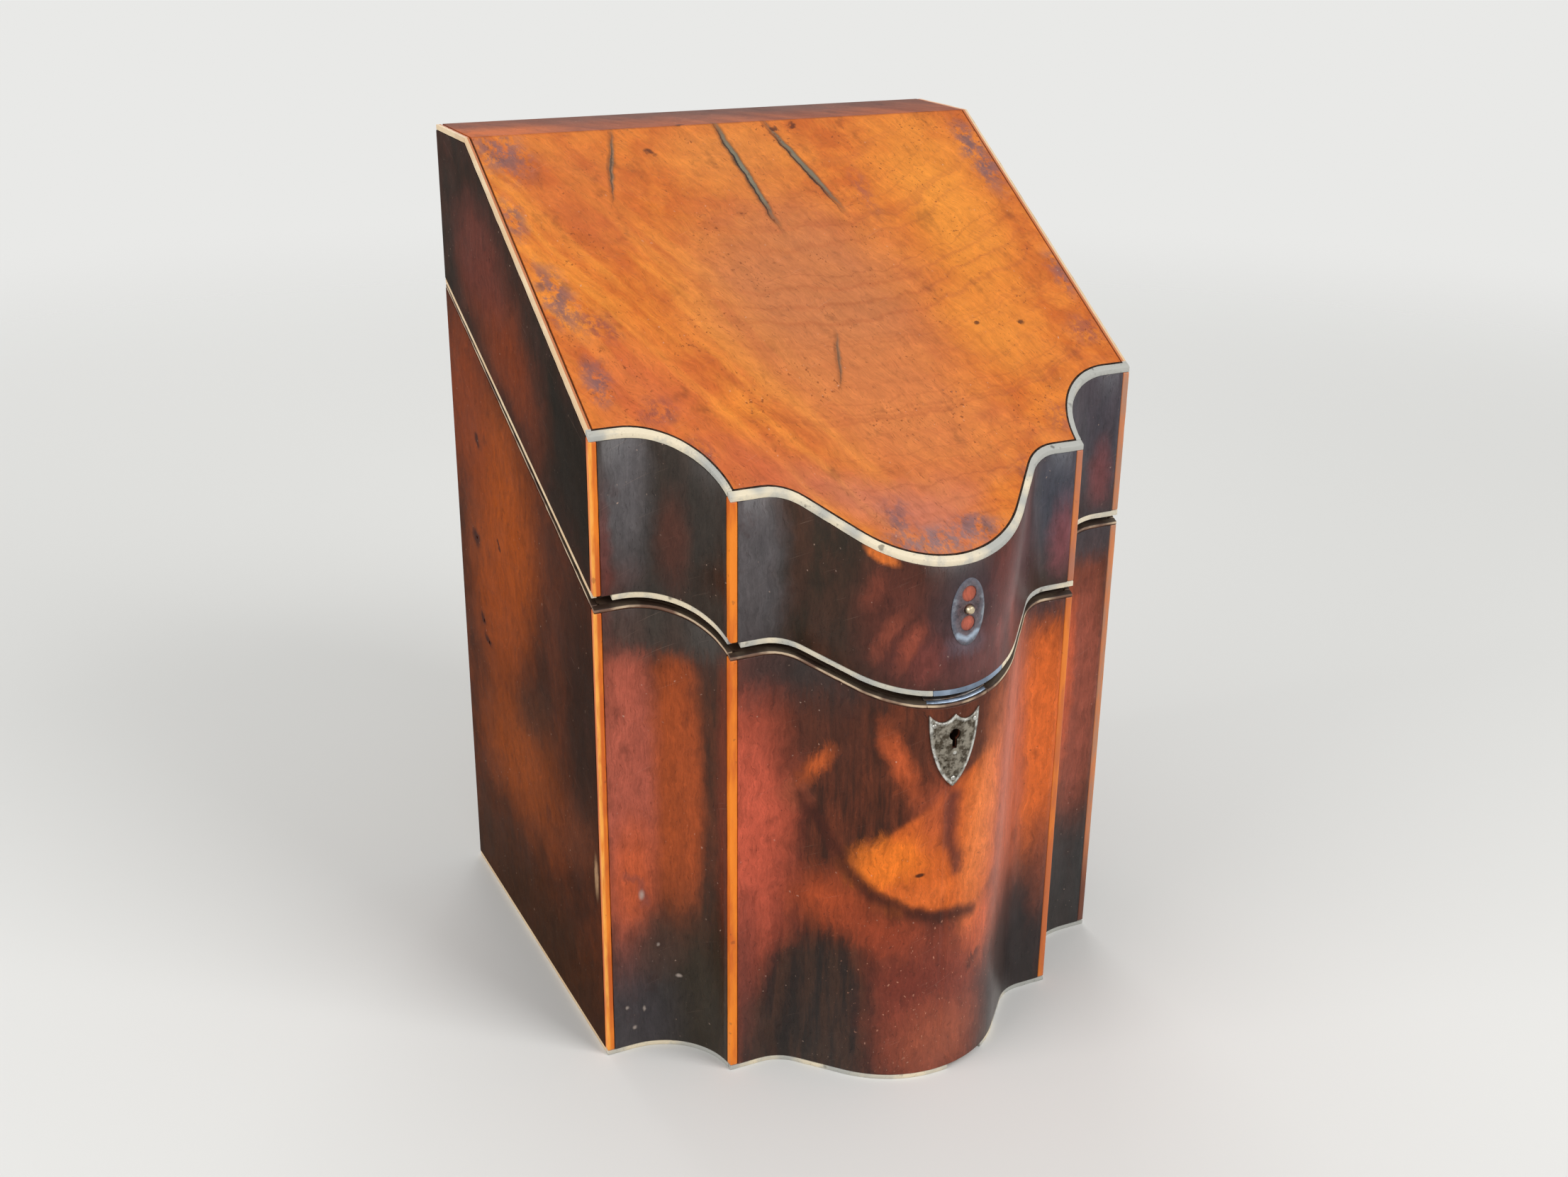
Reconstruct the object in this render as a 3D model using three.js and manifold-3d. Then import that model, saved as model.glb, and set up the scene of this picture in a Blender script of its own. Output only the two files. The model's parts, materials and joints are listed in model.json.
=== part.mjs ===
// Knife box with a serpentine front: a tall veneered case with a sloping lid, hinged at the back.
// Millimetres, X to the right, Y to the back, Z up. In the sections below y = 0 is the line through the
// two front corners; the finished group is moved so that its origin is the middle of its footprint.

import * as THREE from 'three';
import { mergeVertices } from 'three/addons/utils/BufferGeometryUtils.js';
import Module from 'manifold-3d';

const wasm = await Module();
wasm.setup();

// Outside of the box
const width = 225;
const sideDepth = 170.5;
const height = 338;
const topFlatDepth = 39.5;
const lidFrontHeight = 61.9;
const rimFrontHeight = 191;
const rimBackHeight = 273;

// Seam between the rim and the lid, which has warped and stands open at the front
const seamAtCorner = 2.6;
const seamAtBack = 0.4;

// Serpentine front, from a corner inwards: flat, quarter cove, fin, shoulder, hollow, bow
const cornerFlat = 11;
const coveRadius = 29;
const hollowRadius = 17;
const bowProjection = 35;
const bowRadius = 46;
const bowTurn = THREE.MathUtils.degToRad(47.5);

// Facets: a free curve has arcDivisions of them and an arc twice as many; the others are the sides of bars,
// holes and turned pieces
const arcDivisions = 6;
const barSides = 24;
const holeSides = 20;
const turnedSides = 16;

// Boards and veneers
const veneer = 0.9;
const frontWall = 13;
const sideWall = 10;
const backWall = 9;
const bottomThickness = 9;
const lidBoardDepth = 10;
const glueLine = 0.1;

// Stringing
const stringWidth = 2.2;
const baseStringHeight = 2;
const rimStringHeight = 1.5;
const lidStringHeight = 2.2;
const topStringHeight = 2.2;
const postString = 3;

// Cutlery board, with rows of narrow slots and a front row of wide ones
const rackDrop = 34;
const rackThickness = 8;
const rackPlay = 0.3;
const ledgerWidth = 8;
const ledgerHeight = 12;
const ledgerEndPlay = 2;
const slotWidth = 9;
const slotLength = 25;
const slotPitch = 31;
const rowPitch = 42;
const firstRow = 48;
const bowlSlots = 3;
const bowlSlotWidth = 15;
const bowlSlotLength = 20;
const bowlSlotPitch = 24;
const bowlRow = -6;
const slotMargin = 2;

// Lock, let into the back of the bow
const lockWidth = 26;
const lockHeight = 26;
const lockOffset = 2;
const lockFace = 6.6;
const lockDepth = 9.4;
const lockPlate = 1.2;
const lockWall = 1;
const selvage = 1.5;
const lockPlay = 0.3;
const keyDrop = 12.2;
const keyHoleRadius = 2.3;
const keySlotWidth = 1.9;
const keySlotLength = 5.6;
const keyWoodPlay = 0.4;
const keyCasePlay = 0.2;
const drillPinRadius = 0.95;
const drillPinInset = 2.2;

// Staple under the lid and the bolt that shoots through it
const linkPlate = 1.5;
const linkLength = 11;
const stapleX = 7.6;
const stapleThickness = 2;
const stapleWidth = 6.2;
const stapleDrop = 10.4;
const stapleSet = 7.6;
const eyeWidth = 3.8;
const eyeHeight = 4.2;
const eyeDrop = 7;
const staplePlay = 0.8;
const boltTravel = 4.5;
const boltTip = 0.6;
const boltTipHeight = 2.6;
const boltTipDepth = 2;
const boltTailHeight = 5;
const boltTailDepth = 4;
const talonReach = 3.4;
const talonRadius = 2.1;
const talonLip = 1.2;
const boltSlotWall = 1.1;
const stumpRadius = 1;
const stumpPlay = 0.25;
const stumpSetback = 4.5;

// Escutcheon, nailed over the keyhole
const shieldHalfWidth = 10.3;
const shieldHeight = 30;
const shieldThickness = 0.7;
const shieldDrop = 3.2;
const hornScoop = 6.5;
const hornCusp = 0.8;
const shieldTipSpread = 5.7;
const shieldTipLift = 4.2;
const shieldBelly = 15;
const hornTackInset = 2.1;
const hornTackDrop = 4.4;
const tipTackRise = 3.4;
const tackRadius = 1;
const tackRise = 0.7;
const tackLength = 7;
const tackShank = 0.45;
const tackPoint = 1;
const tackCrown = 0.7;
const tackShoulder = 0.5;

// Stub left by the lid pull, a little over halfway up the front of the lid and right of its middle
const pullShare = 0.63;
const pullOffset = 3.4;
const pullShank = 1.2;
const pullBoss = 1.7;
const pullRise = 2.4;
const pullBreak = 1.2;
const pullTaper = 0.25;
const pullLength = 10;

// Hinges
const hingeInset = 50.5;
const hingeLength = 36;
const barrelRadius = 2.6;
const hingePinRadius = 1.2;
const pinPlay = 0.13;
const pinOut = 1.2;
const leafThickness = 1.3;
const centreKnuckle = 11.6;
const hingePlay = 0.3;
const leafPlay = 0.12;

// Heights of the sloping surfaces over a given y
const rimSlope = (rimBackHeight - rimFrontHeight) / sideDepth;
const underSlope = (rimBackHeight + seamAtBack - rimFrontHeight - seamAtCorner) / sideDepth;
const slopeFrontHeight = rimFrontHeight + seamAtCorner + lidFrontHeight;
const ridge = sideDepth - topFlatDepth;
const topSlope = (height - slopeFrontHeight) / ridge;
const rimAt = (y) => rimFrontHeight + rimSlope * y;
const underAt = (y) => rimFrontHeight + seamAtCorner + underSlope * y;
const rimTilt = Math.atan(rimSlope);

// Places along the serpentine, worked out so that each curve runs smoothly into the next, and how far
// the cutting shapes reach past the box and past a face
const halfWidth = width / 2;
const coveX = halfWidth - cornerFlat;
const finX = coveX - coveRadius;
const bowFront = -coveRadius - bowProjection;
const bowCentre = bowFront + bowRadius;
const bowRun = bowProjection - (hollowRadius + bowRadius) * (1 - Math.cos(bowTurn));
const bowStraight = bowRun / Math.sin(bowTurn);
const hollowX = (hollowRadius + bowRadius) * Math.sin(bowTurn) + bowStraight * Math.cos(bowTurn);
const hollowY = -coveRadius - hollowRadius;
const hingeX = halfWidth - hingeInset;
const beyond = 20;
const over = 1;
const nearY = bowFront - beyond;
const farY = sideDepth + beyond;

// Turns a closed three.js geometry into a solid that can be joined and cut
function solidOf(geometry, matrix = new THREE.Matrix4()) {
  const plain = new THREE.BufferGeometry();
  plain.setAttribute('position', geometry.getAttribute('position').clone());
  if (geometry.index) {
    plain.setIndex(geometry.index.clone());
  }
  plain.applyMatrix4(matrix);
  const merged = mergeVertices(plain, 1e-4);
  return new wasm.Manifold(new wasm.Mesh({
    numProp: 3,
    vertProperties: Float32Array.from(merged.getAttribute('position').array),
    triVerts: Uint32Array.from(merged.index.array),
  }));
}

// Points of an outline, without the doubled ones where two curves meet
function outlinePoints(path) {
  const points = path.getPoints(arcDivisions);
  return points.filter((point, i) => point.distanceTo(points[(i + 1) % points.length]) > 1e-6);
}

function pushed(path, depth, matrix) {
  const shape = new THREE.Shape(outlinePoints(path));
  return solidOf(new THREE.ExtrudeGeometry(shape, { depth, bevelEnabled: false }), matrix);
}

// An outline seen from above, pushed up through the whole height
function upright(path) {
  return pushed(path, height + 2 * beyond, new THREE.Matrix4().makeTranslation(0, 0, -beyond));
}

// An outline in Y and Z, pushed across from x0 to x1
function sideways(points, x0, x1) {
  const path = new THREE.Path(points.map(([y, z]) => new THREE.Vector2(y, z)));
  const basis = new THREE.Matrix4().makeBasis(
    new THREE.Vector3(0, 1, 0),
    new THREE.Vector3(0, 0, 1),
    new THREE.Vector3(1, 0, 0),
  );
  basis.setPosition(x0, 0, 0);
  return pushed(path, x1 - x0, basis);
}

// An outline in X and Z, pushed forward from y1 to y0
function forward(path, y0, y1) {
  const basis = new THREE.Matrix4().makeBasis(
    new THREE.Vector3(1, 0, 0),
    new THREE.Vector3(0, 0, 1),
    new THREE.Vector3(0, -1, 0),
  );
  basis.setPosition(0, y1, 0);
  return pushed(path, y1 - y0, basis);
}

function block(x0, x1, y0, y1, z0, z1, matrix = new THREE.Matrix4()) {
  const geometry = new THREE.BoxGeometry(x1 - x0, y1 - y0, z1 - z0);
  geometry.translate((x0 + x1) / 2, (y0 + y1) / 2, (z0 + z1) / 2);
  return solidOf(geometry, matrix);
}

// A round bar along X
function barAlongX(radius, x0, x1, matrix = new THREE.Matrix4()) {
  const geometry = new THREE.CylinderGeometry(radius, radius, x1 - x0, barSides);
  geometry.rotateZ(Math.PI / 2);
  geometry.translate((x0 + x1) / 2, 0, 0);
  return solidOf(geometry, matrix);
}

// A round bar along Y, through (x, z)
function barAlongY(radius, x, z, y0, y1) {
  const geometry = new THREE.CylinderGeometry(radius, radius, y1 - y0, holeSides);
  geometry.translate(x, (y0 + y1) / 2, z);
  return solidOf(geometry);
}

// Lines that bound a layer, each a list of points in Y and Z
const level = (z) => [[nearY, z], [farY, z]];
const rimLine = (drop) => [[nearY, rimAt(nearY) - drop], [farY, rimAt(farY) - drop]];
const underLine = (rise) => [[nearY, underAt(nearY) + rise], [farY, underAt(farY) + rise]];
const topLine = (drop) => [
  [nearY, slopeFrontHeight + topSlope * nearY - drop],
  [ridge, height - drop],
  [farY, height - drop],
];

// All that lies between two such lines, as wide as the box and more
function layer(low, high) {
  return sideways([...low, ...high.slice().reverse()], -halfWidth - beyond, halfWidth + beyond);
}

// The box's plan, drawn in by a given amount at the front and the sides, and let out at the back
function plan(inset, backReach = 0) {
  const cove = coveRadius + inset;
  const finTurn = Math.asin(inset / cove);
  const path = new THREE.Path();
  path.moveTo(halfWidth - inset, sideDepth + backReach);
  path.lineTo(halfWidth - inset, inset);
  path.absarc(coveX, -coveRadius, cove, Math.PI / 2, Math.PI - finTurn, false);
  path.absarc(hollowX, hollowY, hollowRadius + inset, Math.PI / 2, Math.PI / 2 + bowTurn, false);
  path.absarc(0, bowCentre, bowRadius - inset, -Math.PI / 2 + bowTurn, -Math.PI / 2 - bowTurn, true);
  path.absarc(-hollowX, hollowY, hollowRadius + inset, Math.PI / 2 - bowTurn, Math.PI / 2, false);
  path.absarc(-coveX, -coveRadius, cove, finTurn, Math.PI / 2, false);
  path.lineTo(inset - halfWidth, inset);
  path.lineTo(inset - halfWidth, sideDepth + backReach);
  return upright(path);
}

// The room inside the walls, with some play all round
function room(play) {
  const inset = frontWall + play;
  const path = new THREE.Path();
  path.moveTo(hollowX, sideDepth / 2);
  path.absarc(hollowX, hollowY, hollowRadius + inset, Math.PI / 2, Math.PI / 2 + bowTurn, false);
  path.absarc(0, bowCentre, bowRadius - inset, -Math.PI / 2 + bowTurn, -Math.PI / 2 - bowTurn, true);
  path.absarc(-hollowX, hollowY, hollowRadius + inset, Math.PI / 2 - bowTurn, Math.PI / 2, false);
  path.lineTo(-hollowX, sideDepth / 2);
  const side = halfWidth - sideWall - play;
  const back = sideDepth - backWall - play;
  let space = upright(path).add(block(-side, side, inset - coveRadius, back, -beyond, height + beyond));
  for (const x of [-coveX, coveX]) {
    const post = new THREE.Path();
    post.absarc(x, -coveRadius, coveRadius + inset, 0, 2 * Math.PI, false);
    space = space.subtract(upright(post));
  }
  return space;
}

const outside = plan(0);
const underVeneer = plan(veneer + glueLine);
const insideString = plan(stringWidth + glueLine, beyond);
const stringRing = outside.subtract(plan(stringWidth, beyond));
const veneerRing = outside.subtract(plan(veneer, beyond));
const hollow = room(0);

// The part of a plan behind or before a given y, or between two values of x
const ahead = (y) => block(-halfWidth - beyond, halfWidth + beyond, nearY, y, -beyond, height + beyond);
const behind = (y) => block(-halfWidth - beyond, halfWidth + beyond, y, farY, -beyond, height + beyond);
const within = (x0, x1) => block(x0, x1, nearY, farY, -beyond, height + beyond);

// The square posts of stringing at a corner and at a fin, on the side given by its sign
function postSpace(sign, outerX, frontY, play) {
  const x = [sign * (outerX - postString - play), sign * (outerX + over)];
  x.sort((a, b) => a - b);
  return block(x[0], x[1], frontY - over, frontY + postString + play, -beyond, height + beyond);
}

const posts = [-1, 1].flatMap((sign) => [
  postSpace(sign, halfWidth, 0, glueLine),
  postSpace(sign, finX, -coveRadius, glueLine),
]);
const cornerPost = (sign) => postSpace(sign, halfWidth, 0, 0).intersect(outside);
const finPost = (sign) => postSpace(sign, finX, -coveRadius, 0).intersect(outside);
const withoutPosts = (piece) => posts.reduce((rest, post) => rest.subtract(post), piece);

// Splits a front or side skin into its five sheets of veneer
const sheetSpace = {
  left: within(-halfWidth - over, -coveX).intersect(behind(postString + glueLine)),
  right: within(coveX, halfWidth + over).intersect(behind(postString + glueLine)),
  leftCove: within(-halfWidth + postString + glueLine, -finX + postString)
    .intersect(behind(postString + glueLine - coveRadius)),
  rightCove: within(finX - postString, halfWidth - postString - glueLine)
    .intersect(behind(postString + glueLine - coveRadius)),
  centre: within(-finX + postString + glueLine, finX - postString - glueLine),
};

// Materials
const tone = (color, roughness, metalness = 0) => ({ color, roughness, metalness });
const tones = {
  frontVeneer: tone(0x5a2012, 0.3),
  sideVeneer: tone(0x4a1d0c, 0.34),
  lidVeneer: tone(0x9c4c18, 0.32),
  flatVeneer: tone(0x4b2a20, 0.4),
  carcase: tone(0x6b4630, 0.65),
  rack: tone(0x6a3018, 0.5),
  paleString: tone(0xc9b48c, 0.45),
  warmString: tone(0xb5622a, 0.42),
  brass: tone(0xa8893f, 0.35, 1),
  oldSilver: tone(0x77736c, 0.45, 1),
  iron: tone(0x4c4a48, 0.5, 1),
};

const box = new THREE.Group();
box.name = 'knife_box';
const caseGroup = new THREE.Group();
const lidGroup = new THREE.Group();
const boltGroup = new THREE.Group();
box.add(caseGroup, lidGroup, boltGroup);

function put(group, name, solid, finish) {
  const shell = solid.getMesh();
  const geometry = new THREE.BufferGeometry();
  geometry.setAttribute('position', new THREE.BufferAttribute(Float32Array.from(shell.vertProperties), 3));
  geometry.setIndex(new THREE.BufferAttribute(Uint32Array.from(shell.triVerts), 1));
  geometry.computeVertexNormals();
  const mesh = new THREE.Mesh(geometry, new THREE.MeshStandardMaterial({ ...finish, flatShading: true }));
  mesh.name = name;
  group.add(mesh);
  return mesh;
}

// Lock: everything here is measured from the bow's front and from the rim over the staple
const lockLeft = lockOffset - lockWidth / 2;
const lockRight = lockOffset + lockWidth / 2;
const caseFront = bowFront + lockFace;
const plateFront = caseFront + lockDepth;
const keyZ = rimAt(bowFront) - keyDrop;
const lockFoot = rimAt(caseFront) - lockHeight;
const stapleY = bowFront + stapleSet;
const stapleFrame = new THREE.Matrix4().makeRotationX(rimTilt);
stapleFrame.setPosition(0, stapleY, rimAt(stapleY));
const boltY = stapleY + eyeDrop * Math.sin(rimTilt);
const boltZ = rimAt(stapleY) - eyeDrop * Math.cos(rimTilt);

// The way that the staple takes through the selvage, the lock case and the wood in front of it
const stapleWay = block(
  stapleX - stapleThickness / 2 - staplePlay,
  stapleX + stapleThickness / 2 + staplePlay,
  -stapleWidth / 2 - staplePlay,
  stapleWidth / 2 + staplePlay,
  -stapleDrop - staplePlay,
  beyond,
  stapleFrame,
);

function keyHole(play, y0, y1) {
  const radius = keyHoleRadius + play;
  const slot = keySlotWidth / 2 + play;
  const foot = keyZ - keySlotLength - play;
  return barAlongY(radius, 0, keyZ, y0, y1).add(block(-slot, slot, y0, y1, foot, keyZ));
}

const lockPocket = block(
  lockLeft - lockPlay,
  lockRight + lockPlay,
  caseFront - lockPlay,
  0,
  lockFoot - lockPlay,
  height,
);
const selvageSpace = layer(rimLine(selvage + glueLine), level(height))
  .intersect(within(lockLeft - lockPlay, lockRight + lockPlay));

// Tacks of the escutcheon, on the bow at x, under the rim by drop
const shieldTop = rimAt(bowFront) - shieldDrop;
const tackPlaces = [
  [-shieldHalfWidth + hornTackInset, shieldTop - hornTackDrop],
  [shieldHalfWidth - hornTackInset, shieldTop - hornTackDrop],
  [0, shieldTop - shieldHeight + tipTackRise],
];

// A turned piece that stands on the bow, its axis along the bow's radius at x and at the height z
function onBow(profile, x, z, rise) {
  const turned = new THREE.LatheGeometry(profile.map(([r, h]) => new THREE.Vector2(r, h)), turnedSides);
  const angle = Math.asin(x / bowRadius);
  const matrix = new THREE.Matrix4().makeRotationZ(angle);
  matrix.multiply(new THREE.Matrix4().makeRotationX(Math.PI));
  const reach = bowRadius + rise;
  matrix.setPosition(reach * Math.sin(angle), bowCentre - reach * Math.cos(angle), z);
  return solidOf(turned, matrix);
}

const tackHoles = tackPlaces.map(([x, z]) => {
  const radius = tackShank + glueLine;
  const foot = -tackLength - glueLine;
  return onBow([[0, foot], [radius, foot], [radius, beyond], [0, beyond]], x, z, 0);
});
const withoutTacks = (piece) => tackHoles.reduce((rest, hole) => rest.subtract(hole), piece);

// Hinges: each has its own frame, with Y up the seam and Z square to it
const pinY = sideDepth + pinOut;
const pinZ = (rimAt(pinY) + underAt(pinY)) / 2;
const leafGap = (seamAtBack / 2) * Math.cos(rimTilt);
const leafReach = pinOut + backWall;
const outerKnuckleStart = centreKnuckle / 2 + hingePlay;
const hingeFrames = [-hingeX, hingeX].map((x) => {
  const matrix = new THREE.Matrix4().makeRotationX(rimTilt);
  matrix.setPosition(x, pinY, pinZ);
  return matrix;
});

function hingeSpace(frame, low, high) {
  const half = hingeLength / 2 + leafPlay;
  return block(-half, half, -leafReach - leafPlay, beyond, low, high, frame)
    .add(barAlongX(barrelRadius + hingePlay, -half, half, frame));
}

const leafBed = leafGap + leafThickness + leafPlay;
const leafMortises = hingeFrames.map((frame) => hingeSpace(frame, -leafBed, over));
const lidMortises = hingeFrames.map((frame) => hingeSpace(frame, -over, leafBed));

// Case: boards
const caseHeight = layer(level(bottomThickness), rimLine(0));
const rimRebate = layer(rimLine(rimStringHeight + glueLine), level(height)).subtract(insideString);

let shapedFront = underVeneer.intersect(ahead(frontWall)).intersect(caseHeight).subtract(hollow);
shapedFront = withoutPosts(shapedFront).subtract(rimRebate).subtract(lockPocket).subtract(selvageSpace);
shapedFront = shapedFront.subtract(stapleWay).subtract(keyHole(keyWoodPlay, nearY, 0));
shapedFront = withoutTacks(shapedFront);
put(caseGroup, 'front_core', shapedFront, tones.carcase);

for (const [name, sign] of [['left_side', -1], ['right_side', 1]]) {
  const inner = sign * (halfWidth - sideWall);
  const board = underVeneer
    .intersect(within(Math.min(inner, sign * width), Math.max(inner, sign * width)))
    .intersect(behind(frontWall))
    .intersect(caseHeight);
  put(caseGroup, name, board.subtract(rimRebate), tones.carcase);
}

const innerHalf = halfWidth - sideWall;
const backSpace = within(-innerHalf, innerHalf).intersect(outside).intersect(behind(sideDepth - backWall));
const backBoard = leafMortises.reduce((rest, cut) => rest.subtract(cut), backSpace.intersect(caseHeight));
put(caseGroup, 'back_board', backBoard, tones.carcase);

const baseRebate = layer(level(-beyond), level(baseStringHeight + glueLine)).subtract(insideString);
const bottom = withoutPosts(underVeneer.intersect(layer(level(0), level(bottomThickness))));
put(caseGroup, 'bottom_board', bottom.subtract(baseRebate), tones.carcase);

// Case: veneers
const caseSheets = [
  ['left_side_veneer', sheetSpace.left, tones.sideVeneer],
  ['right_side_veneer', sheetSpace.right, tones.sideVeneer],
  ['left_cove_veneer', sheetSpace.leftCove, tones.frontVeneer],
  ['right_cove_veneer', sheetSpace.rightCove, tones.frontVeneer],
  ['front_veneer', sheetSpace.centre, tones.frontVeneer],
];
const caseSkinBand = layer(level(baseStringHeight + glueLine), rimLine(rimStringHeight + glueLine));
const caseSkin = withoutTacks(veneerRing.intersect(caseSkinBand).subtract(keyHole(0, nearY, 0)));
for (const [name, space, finish] of caseSheets) {
  put(caseGroup, name, caseSkin.intersect(space), finish);
}

// Case: stringing
const baseBand = layer(level(0), level(baseStringHeight));
const rimBand = layer(rimLine(rimStringHeight), rimLine(0));
put(caseGroup, 'base_string', stringRing.intersect(baseBand), tones.paleString);
put(caseGroup, 'rim_string', stringRing.intersect(rimBand), tones.paleString);
for (const [side, sign] of [['left', -1], ['right', 1]]) {
  put(caseGroup, `${side}_corner_string`, cornerPost(sign).intersect(caseSkinBand), tones.warmString);
  put(caseGroup, `${side}_fin_string`, finPost(sign).intersect(caseSkinBand), tones.warmString);
}

// Cutlery board and the ledgers under its sides
function slotOutline(x, y, across, along) {
  const radius = across / 2;
  const run = along / 2 - radius;
  const path = new THREE.Path();
  path.absarc(x, y + run, radius, 0, Math.PI, false);
  path.absarc(x, y - run, radius, Math.PI, 2 * Math.PI, false);
  return path;
}

// As many rows and columns as fit between the ledgers and before the back board
const slotSideRoom = innerHalf - ledgerWidth - slotMargin - slotWidth / 2;
const slotBackRoom = sideDepth - backWall - rackPlay - slotMargin - slotLength / 2;
const slotsAcross = Math.floor((2 * slotSideRoom) / slotPitch) + 1;
const slotRows = Math.floor((slotBackRoom - firstRow) / rowPitch) + 1;
const slotCentres = [];
for (let row = 0; row < slotRows; row += 1) {
  for (let i = 0; i < slotsAcross; i += 1) {
    slotCentres.push([(i - (slotsAcross - 1) / 2) * slotPitch, firstRow + row * rowPitch]);
  }
}
const bowlCentres = [];
for (let i = 0; i < bowlSlots; i += 1) {
  bowlCentres.push([(i - (bowlSlots - 1) / 2) * bowlSlotPitch, bowlRow]);
}

let rack = room(rackPlay).intersect(layer(rimLine(rackDrop + rackThickness), rimLine(rackDrop)));
for (const [x, y] of slotCentres) {
  rack = rack.subtract(upright(slotOutline(x, y, slotWidth, slotLength)));
}
for (const [x, y] of bowlCentres) {
  rack = rack.subtract(upright(slotOutline(x, y, bowlSlotWidth, bowlSlotLength)));
}
put(caseGroup, 'cutlery_board', rack, tones.rack);

const ledgerTop = rackDrop + rackThickness + glueLine;
const ledgerLayer = layer(rimLine(ledgerTop + ledgerHeight), rimLine(ledgerTop));
const ledgerRun = behind(frontWall + ledgerEndPlay).intersect(ahead(sideDepth - backWall - ledgerEndPlay));
for (const [name, sign] of [['left_ledger', -1], ['right_ledger', 1]]) {
  const wall = sign * innerHalf;
  const edge = sign * (innerHalf - ledgerWidth);
  const strip = within(Math.min(wall, edge), Math.max(wall, edge));
  put(caseGroup, name, ledgerLayer.intersect(strip).intersect(ledgerRun), tones.carcase);
}

// Lock plate with its sloping selvage and the stump that carries the bolt
const plateTop = layer(level(lockFoot), rimLine(selvage / 2));
const stumpX = -stumpSetback + boltTravel / 2;
const stumpY = boltY - boltTailDepth / 2 - stumpPlay;
const lipFront = plan(stringWidth + glueLine)
  .intersect(layer(rimLine(selvage), rimLine(0)))
  .intersect(ahead(plateFront + lockPlate))
  .intersect(within(lockLeft, lockRight));
const lockBack = block(lockLeft, lockRight, plateFront, plateFront + lockPlate, lockFoot, height)
  .intersect(plateTop)
  .add(lipFront.subtract(stapleWay))
  .add(barAlongY(stumpRadius, stumpX, boltZ, stumpY, plateFront + lockPlate / 2));
put(caseGroup, 'lock_plate', lockBack, tones.iron);

const caseLid = layer(level(0), rimLine(selvage + glueLine));
const lockBox = block(lockLeft, lockRight, caseFront, plateFront - glueLine, lockFoot, height)
  .subtract(block(
    lockLeft + lockWall,
    lockRight - lockWall,
    caseFront + lockWall,
    0,
    lockFoot + lockWall,
    height + beyond,
  ))
  .intersect(caseLid)
  .subtract(stapleWay)
  .subtract(keyHole(keyCasePlay, nearY, 0));
put(caseGroup, 'lock_case', lockBox, tones.iron);

const drillPinTip = bowFront + drillPinInset;
const drillPinFoot = plateFront - glueLine;
const drillPin = new THREE.Mesh(
  new THREE.CylinderGeometry(drillPinRadius, drillPinRadius, drillPinFoot - drillPinTip, turnedSides),
  new THREE.MeshStandardMaterial(tones.iron),
);
drillPin.name = 'drill_pin';
drillPin.position.set(0, (drillPinTip + drillPinFoot) / 2, keyZ);
caseGroup.add(drillPin);

// Escutcheon: a shield with two horns, bent round the bow
const shieldFoot = shieldTop - shieldHeight;
const tipSide = shieldFoot + shieldTipLift;
const bellySide = shieldTop - shieldBelly;
const shield = new THREE.Path();
shield.moveTo(0, shieldFoot);
shield.bezierCurveTo(shieldTipSpread, tipSide, shieldHalfWidth, bellySide, shieldHalfWidth, shieldTop);
shield.quadraticCurveTo(shieldHalfWidth / 2, shieldTop - hornScoop, 0, shieldTop - hornCusp);
shield.quadraticCurveTo(-shieldHalfWidth / 2, shieldTop - hornScoop, -shieldHalfWidth, shieldTop);
shield.bezierCurveTo(-shieldHalfWidth, bellySide, -shieldTipSpread, tipSide, 0, shieldFoot);
const shieldSkin = plan(-shieldThickness - glueLine).subtract(plan(-glueLine, beyond));
const escutcheon = forward(shield, nearY, -coveRadius).intersect(shieldSkin).subtract(keyHole(0, nearY, 0));
put(caseGroup, 'escutcheon', withoutTacks(escutcheon), tones.oldSilver);

tackPlaces.forEach(([x, z], i) => {
  const profile = [
    [0, -tackLength],
    [tackShank, -tackLength + tackPoint],
    [tackShank, glueLine],
    [tackRadius, glueLine],
    [tackCrown, tackShoulder],
    [0, tackRise],
  ];
  const tack = onBow(profile, x, z, shieldThickness + glueLine);
  put(caseGroup, `escutcheon_pin_${i + 1}`, tack, tones.oldSilver);
});

// Hinges, each in its own turned group; the moving leaf belongs to the lid
const knuckle = (x0, x1) => barAlongX(barrelRadius, x0, x1);
const bore = barAlongX(hingePinRadius + pinPlay, -hingeLength, hingeLength);
const runRoom = (x0, x1) => barAlongX(barrelRadius + hingePlay, x0, x1);
const leafEnd = hingeLength / 2;
const leaf = (low, high) => block(-leafEnd, leafEnd, -leafReach, -hingePinRadius / 2, low, high);
const fixedLeaf = leaf(-leafGap - leafThickness, -leafGap)
  .subtract(runRoom(-outerKnuckleStart, outerKnuckleStart))
  .add(knuckle(-leafEnd, -outerKnuckleStart))
  .add(knuckle(outerKnuckleStart, leafEnd))
  .subtract(bore);
const movingLeaf = leaf(leafGap, leafGap + leafThickness)
  .subtract(runRoom(-hingeLength, -centreKnuckle / 2))
  .subtract(runRoom(centreKnuckle / 2, hingeLength))
  .add(knuckle(-centreKnuckle / 2, centreKnuckle / 2))
  .subtract(bore);

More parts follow.
